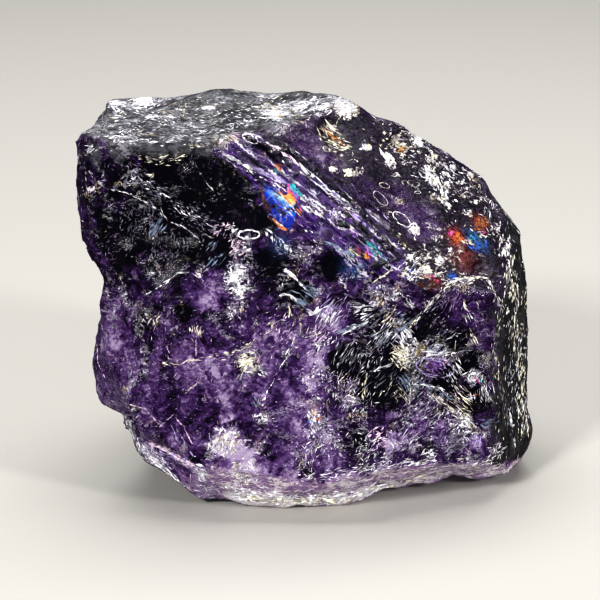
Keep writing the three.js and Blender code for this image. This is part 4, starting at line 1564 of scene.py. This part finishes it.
    def relief(self, points: np.ndarray, normals: np.ndarray, marks: dict[Mark, np.ndarray]) -> np.ndarray:
        """Works out how far the surface stands out or lies back at every point.

        Args:
            points: The surface's points, in millimetres.
            normals: The way that the surface looks at each.
            marks: The amounts by mark.

        Returns:
            Heights in millimetres.
        """
        dull = np.maximum(np.maximum(marks[Mark.FROST], marks[Mark.SKIN]), marks[Mark.STRIP])
        glassy = 1 - 0.75 * np.clip(dull, 0, 1)
        wide, narrow = self.slabs_mm
        broken = slopes(points, wide, 1.0) * self.slab_mm + slopes(points, narrow, 6.0) * self.chip_mm
        wide, narrow = self.hollows_mm
        hollow = bowls(points, wide) * self.hollow_mm + bowls(points, narrow, 8.0) * self.pit_mm
        streaks = waves(points * np.array([0.3, 1, 1]), 0.8, 9.0)
        step = points @ np.array(RIDGE_ACROSS) / self.terrace_width_mm + waves(points, 5.0, 2.0) * 0.4
        terraces = (step - np.floor(step)) * self.terrace_mm
        relief = (broken - hollow) * glassy + streaks * self.streak_mm * marks[Mark.FROST]
        relief -= terraces * np.clip(marks[Mark.LEDGE], 0, 1)
        relief += self.crumb_mm * np.clip(marks[Mark.CRUMB], -1, 1)
        hidden = np.clip(normals @ -np.array(self.sight.camera.back()) * 1.6, 0, 1)
        shells = bowls(points + waves(points, 6.0, 4.0)[:, None], self.shells_mm, 5.0)
        rings = np.cos(np.sqrt(1 - shells) * self.ripples) * self.ripple_mm
        return relief - hidden * (shells * self.shell_mm + rings + self.ripple_mm)


@dataclass(frozen=True)
class CrushedQuartz:
    """The finish of crushed quartz: opaque, and a little uneven in each splinter's own colour."""

    bump_strength: float = 0.3
    bump_metres: float = 0.0001
    dimmed: float = 0.6
    roughness: float = 0.3
    dull_roughness: float = 0.5
    mottle_per_metre: float = 2600.0
    refractive_index: float = 1.544

    def material(self) -> bpy.types.Material:
        """Wires up the splinters' material.

        Returns:
            The material.
        """
        material = bpy.data.materials.new("crushed_quartz")
        material.use_nodes = True
        w = Wiring(material.node_tree)
        own = w.signal("ShaderNodeAttribute", "Color", {"attribute_name": "tint"})
        mottle = w.noise(w.signal("ShaderNodeTexCoord", "Object"), self.mottle_per_metre, 2.0)
        bump = {"Strength": self.bump_strength, "Distance": self.bump_metres, "Height": mottle}
        finish = {
            "Base Color": w.vectors("SCALE", own, Scale=w.span(mottle, 0.35, 0.6, self.dimmed, 1.0)),
            "Roughness": w.span(mottle, 0.3, 0.7, self.roughness, self.dull_roughness),
            "IOR": self.refractive_index,
            "Normal": w.signal("ShaderNodeBump", "Normal", **bump),
        }
        w.feed(material.node_tree.nodes["Principled BSDF"], finish)
        return material


@dataclass
class Splinters:
    """The bright splinters of the fractures, half sunk in the stone's surface."""

    sight: Sight
    stone: bpy.types.Object
    hidden_fractures: int = 110
    fine_splinters: int = 24000
    sunk_mm: float = 0.02
    floor_gap_mm: float = 0.25
    flatness: float = 0.6
    darkest: float = 0.16
    fine_length_mm: float = 0.24
    fine_width_mm: float = 0.07
    dash_length_mm: float = 0.32
    dash_width_mm: float = 0.17
    veiled_from: float = 0.42
    crowd_stray: float = 0.6
    strands_stray: float = 0.22
    course_stray: float = 0.12
    ring_flatness: float = 0.42
    steepest: float = 0.3
    fine_above_mm: float = 2.0
    hidden_above_mm: float = 4.0
    hidden_stray_mm: float = 0.16
    dice: random.Random = field(default_factory=lambda: random.Random(DICE_SEED))

    def build(self) -> bpy.types.Object:
        """Makes all splinters as one piece.

        Returns:
            The piece.
        """
        one = bmesh.new()
        bmesh.ops.create_uvsphere(one, u_segments=4, v_segments=2, radius=0.5)
        self.one = bpy.data.meshes.new("splinter")
        one.to_mesh(self.one)
        one.free()
        self.one.attributes.new("tint", "FLOAT_COLOR", "POINT")
        self.corners = np.array([v.co for v in self.one.vertices])
        self.all = bmesh.new()
        lists = (upper_fractures, ridge_fractures, right_fractures, lower_fractures, top_fractures)
        for fracture in [fracture for listed in lists for fracture in listed()]:
            self.lay(fracture)
        self.lay_hidden()
        self.lay_fine()
        piece = object_of(self.all, "quartz_splinters")
        bpy.data.meshes.remove(self.one)
        piece.data.materials.append(CrushedQuartz().material())
        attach(piece, "root")
        return piece

    def add(self, first: Vector, last: Vector, normal: Vector, width: float, tint: Tint) -> None:
        """Adds one splinter between two points of the surface.

        Args:
            first: Where it starts, in millimetres.
            last: Where it ends, in millimetres.
            normal: The way that the surface looks.
            width: How wide it is, in millimetres.
            tint: Its colour.
        """
        if min(first.z, last.z) < self.floor_gap_mm:
            return
        along = last - first
        side = normal.cross(along).normalized()
        out = along.cross(side).normalized()
        axes = np.array([side * width, out * width * self.flatness, along])
        middle = np.array((first + last) / 2 + normal * self.sunk_mm)
        corners = (self.corners @ axes + middle) * MM
        self.one.vertices.foreach_set("co", corners.ravel())
        light = self.darkest + (1 - self.darkest) * self.dice.random() ** 0.75
        colour = [part * light for part in tint.value] + [1.0]
        self.one.attributes["tint"].data.foreach_set("color", colour * len(corners))
        self.all.from_mesh(self.one)

    def show(self, across: float, up: float, turn: float, length: float, width: float, tint: Tint) -> None:
        """Adds one splinter where the camera sees a place, unless the surface breaks off there.

        Args:
            across: How far right of the picture's middle it is, in millimetres.
            up: How far above the picture's middle it is, in millimetres.
            turn: Its turn from level, in radians.
            length: Its length, in millimetres.
            width: Its width, in millimetres.
            tint: Its colour.
        """
        reach = Vector((math.cos(turn), math.sin(turn))) * length / 2
        first, normal = self.sight.meets(across - reach.x, up - reach.y)
        last, other = self.sight.meets(across + reach.x, up + reach.y)
        if (last - first).length < length * 2 and normal.dot(other) > self.steepest:
            self.add(first, last, (normal + other).normalized(), width, tint)

    def lay(self, fracture: Fracture) -> None:
        """Lays a fracture's splinters where the camera sees it.

        Args:
            fracture: The fracture.
        """
        many = int(fracture.dense)
        if len(fracture.course) > 1:
            self.lay_along(fracture)
        elif fracture.habit is Habit.RING:
            for number in range(many):
                self.lay_in_ring(fracture, number / many * math.tau)
        else:
            for _ in range(many):
                self.lay_in_crowd(fracture)

    def lay_in_crowd(self, fracture: Fracture) -> None:
        """Lays one splinter of a crowd or of a field of strands.

        Args:
            fracture: The crowd or the strands.
        """
        dice = self.dice
        around = dice.uniform(0, math.tau)
        away = fracture.spread * math.sqrt(dice.random()) * dice.uniform(0.4, 1.15)
        offset = Vector((math.cos(around), math.sin(around))) * away
        stray = self.crowd_stray if fracture.habit is Habit.CROWD else self.strands_stray
        turn = math.radians(fracture.lean) + dice.gauss(0, stray)
        length, width = self.vary(fracture.length), self.vary(fracture.width)
        across, up = fracture.course[0]
        self.show(across + offset.x, up + offset.y, turn, length, width, fracture.tint)

    def lay_in_ring(self, fracture: Fracture, around: float) -> None:
        """Lays one splinter of a ring.

        Args:
            fracture: The ring.
            around: How far round it the splinter lies, in radians.
        """
        lean = math.radians(fracture.lean)
        long = fracture.spread
        short = fracture.spread * self.ring_flatness * self.dice.uniform(0.8, 1.2)
        offset = Vector((long * math.cos(around), short * math.sin(around)))
        offset.rotate(Matrix.Rotation(lean, 2))
        turn = lean + math.atan2(short * math.cos(around), -long * math.sin(around))
        width = fracture.width * self.dice.uniform(0.5, 1.3)
        across, up = fracture.course[0]
        self.show(across + offset.x, up + offset.y, turn, fracture.length, width, fracture.tint)

    def lay_along(self, fracture: Fracture) -> None:
        """Lays the splinters of a seam or of a comb.

        Args:
            fracture: The seam or the comb.
        """
        dice = self.dice
        comb_like = fracture.habit is Habit.COMB
        stray = self.course_stray + (0 if comb_like else fracture.spread * 0.4)
        for start, end in zip(fracture.course, fracture.course[1:]):
            way = Vector(end) - Vector(start)
            heading = math.radians(fracture.lean) if comb_like else math.atan2(way.y, way.x)
            for _ in range(max(1, round(way.length * fracture.dense))):
                middle = Vector(start) + way * dice.random()
                middle += Vector((-way.y, way.x)).normalized() * dice.gauss(0, fracture.spread)
                turn = heading + dice.gauss(0, stray)
                length, width = self.vary(fracture.length), self.vary(fracture.width)
                self.show(middle.x, middle.y, turn, length, width, fracture.tint)

    def vary(self, size: float) -> float:
        """Draws a size about a usual one: mostly smaller, and now and then much larger."""
        return size * (0.45 + 1.3 * self.dice.random() ** 2)

    def lay_fine(self) -> None:
        """Lays the finest splinters all over the glassy faces, in flowing lines."""
        dice = self.dice
        mesh = self.stone.data
        violet = (MAUVE, VIOLET, VIOLET, LILAC, PINK, CREAM, INK, INK, INK)
        grey = (WHITE, CREAM, ASH, STEEL, LILAC)
        names = (Mark.FLECK, Mark.PALE, Mark.LEDGE, Mark.FROST, Mark.SKIN, Mark.STRIP, Mark.MILK)
        amounts = {}
        for mark in names:
            amounts[mark] = np.empty(len(mesh.vertices), np.float32)
            mesh.attributes[mark.value].data.foreach_get("value", amounts[mark])
        dull = sum(np.clip(amounts[mark], 0, 1) for mark in names[3:])
        for _ in range(self.fine_splinters):
            number = dice.randrange(len(mesh.vertices))
            vertex = mesh.vertices[number]
            place = vertex.co / MM
            if place.z < self.fine_above_mm:
                continue
            if amounts[Mark.STRIP][number] > 0.5:
                self.lay_dash(place, vertex.normal)
                continue
            veiled = amounts[Mark.PALE][number] > self.veiled_from
            wanted = (0.5 if veiled else amounts[Mark.FLECK][number] * 1.8) - dull[number]
            wanted -= 0.3 if amounts[Mark.PALE][number] < 0.0 else 0.0
            if dice.random() > wanted - amounts[Mark.LEDGE][number]:
                continue
            flow = noise.noise_vector(place * 0.3) + noise.noise_vector(place * 1.1 + Vector((7, 7, 7))) * 0.5
            flow = (flow - vertex.normal * flow.dot(vertex.normal)).normalized()
            flow *= self.vary(self.fine_length_mm)
            tint = dice.choice(violet if veiled else grey)
            self.add(place - flow, place + flow, vertex.normal, self.vary(self.fine_width_mm), tint)

    def lay_dash(self, place: Vector, normal: Vector) -> None:
        """Lays a few of the upright dashes of the weathered right side.

        Args:
            place: Where the dash may lie, in millimetres.
            normal: The way that the surface looks there.
        """
        dice = self.dice
        rows = noise.noise(Vector((place.x * 0.5, place.y * 0.5, place.z * 0.12)))
        if dice.random() > 0.16 + rows * 0.5:
            return
        upright = Vector((dice.gauss(0, 0.15), dice.gauss(0, 0.15), 1.0))
        upright = (upright - normal * upright.dot(normal)).normalized() * self.vary(self.dash_length_mm)
        tint = dice.choice((WHITE, WHITE, CREAM, CREAM, ASH, INK))
        self.add(place - upright, place + upright, normal, self.vary(self.dash_width_mm), tint)

    def lay_hidden(self) -> None:
        """Lays seams and crowds of splinters on the sides that the camera doesn't see."""
        dice = self.dice
        mesh = self.stone.data
        back = self.sight.camera.back()
        tints = (WHITE, WHITE, CREAM, PINK, LILAC)
        laid = 0
        while laid < self.hidden_fractures:
            start = mesh.vertices[dice.randrange(len(mesh.vertices))]
            place, normal = start.co / MM, start.normal.copy()
            if normal.dot(back) > 0.05 or place.z < self.hidden_above_mm or normal.z > 0.8:
                continue
            laid += 1
            tint = dice.choice(tints)
            width = dice.uniform(0.1, 0.2)
            if laid % 3:
                self.lay_hidden_seam(place, normal, width, tint)
            else:
                self.lay_hidden_crowd(place, normal, width, tint)

    def lay_hidden_seam(self, place: Vector, normal: Vector, width: float, tint: Tint) -> None:
        """Lays a seam that wanders over the surface.

        Args:
            place: Where it starts, in millimetres.
            normal: The way that the surface looks there.
            width: How wide a splinter is, in millimetres.
            tint: Their colour.
        """
        dice = self.dice
        way = self.any_way(normal)
        for _ in range(dice.randrange(8, 22)):
            ahead = place + way * dice.uniform(0.3, 0.9)
            last, next_normal = self.nearest(ahead + self.any_way(normal) * self.hidden_stray_mm)
            if dice.random() < 0.65:
                self.add(place, last, normal, width * dice.uniform(0.6, 1.2), tint)
            place, normal = last, next_normal
            way = (way - normal * way.dot(normal) + self.any_way(normal) * 0.15).normalized()

    def lay_hidden_crowd(self, place: Vector, normal: Vector, width: float, tint: Tint) -> None:
        """Lays a crowd of splinters that all lie much the same way.

        Args:
            place: Its middle, in millimetres.
            normal: The way that the surface looks there.
            width: How wide a splinter is, in millimetres.
            tint: Their colour.
        """
        dice = self.dice
        way = self.any_way(normal)
        reach = dice.uniform(1.0, 2.6)
        for _ in range(int(reach * 28)):
            middle = place + self.any_way(normal) * reach * dice.random()
            lie = (way + self.any_way(normal) * 0.5).normalized() * dice.uniform(0.25, 0.5)
            first, out = self.nearest(middle - lie)
            last, _ = self.nearest(middle + lie)
            self.add(first, last, out, width * dice.uniform(0.6, 1.2), tint)

    def any_way(self, normal: Vector) -> Vector:
        """Draws a direction in the surface that looks the given way."""
        drawn = Vector([self.dice.gauss(0, 1) for _ in range(3)])
        return (drawn - normal * drawn.dot(normal)).normalized()

    def nearest(self, place: Vector) -> tuple[Vector, Vector]:
        """Finds the surface's nearest point, in millimetres, and the way that it looks there."""
        found, normal, _, _ = self.sight.tree.find_nearest(place * MM)
        return found / MM, normal


def main() -> None:
    """Builds the camera, the studio and the stone."""
    logging.basicConfig(level=logging.INFO, format="%(name)s: %(message)s")
    noise.seed_set(NOISE_SEED)
    camera = PhotoCamera()
    camera.place()
    Studio().build()
    sight = Sight(camera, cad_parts[STONE])
    stone = BrokenStone(sight).build()
    LOG.info("%s has %d faces", stone.name, len(stone.data.polygons))
    splinters = Splinters(Sight(camera, stone), stone).build()
    LOG.info("%s has %d faces", splinters.name, len(splinters.data.polygons))


if __name__ == "__main__":
    main()
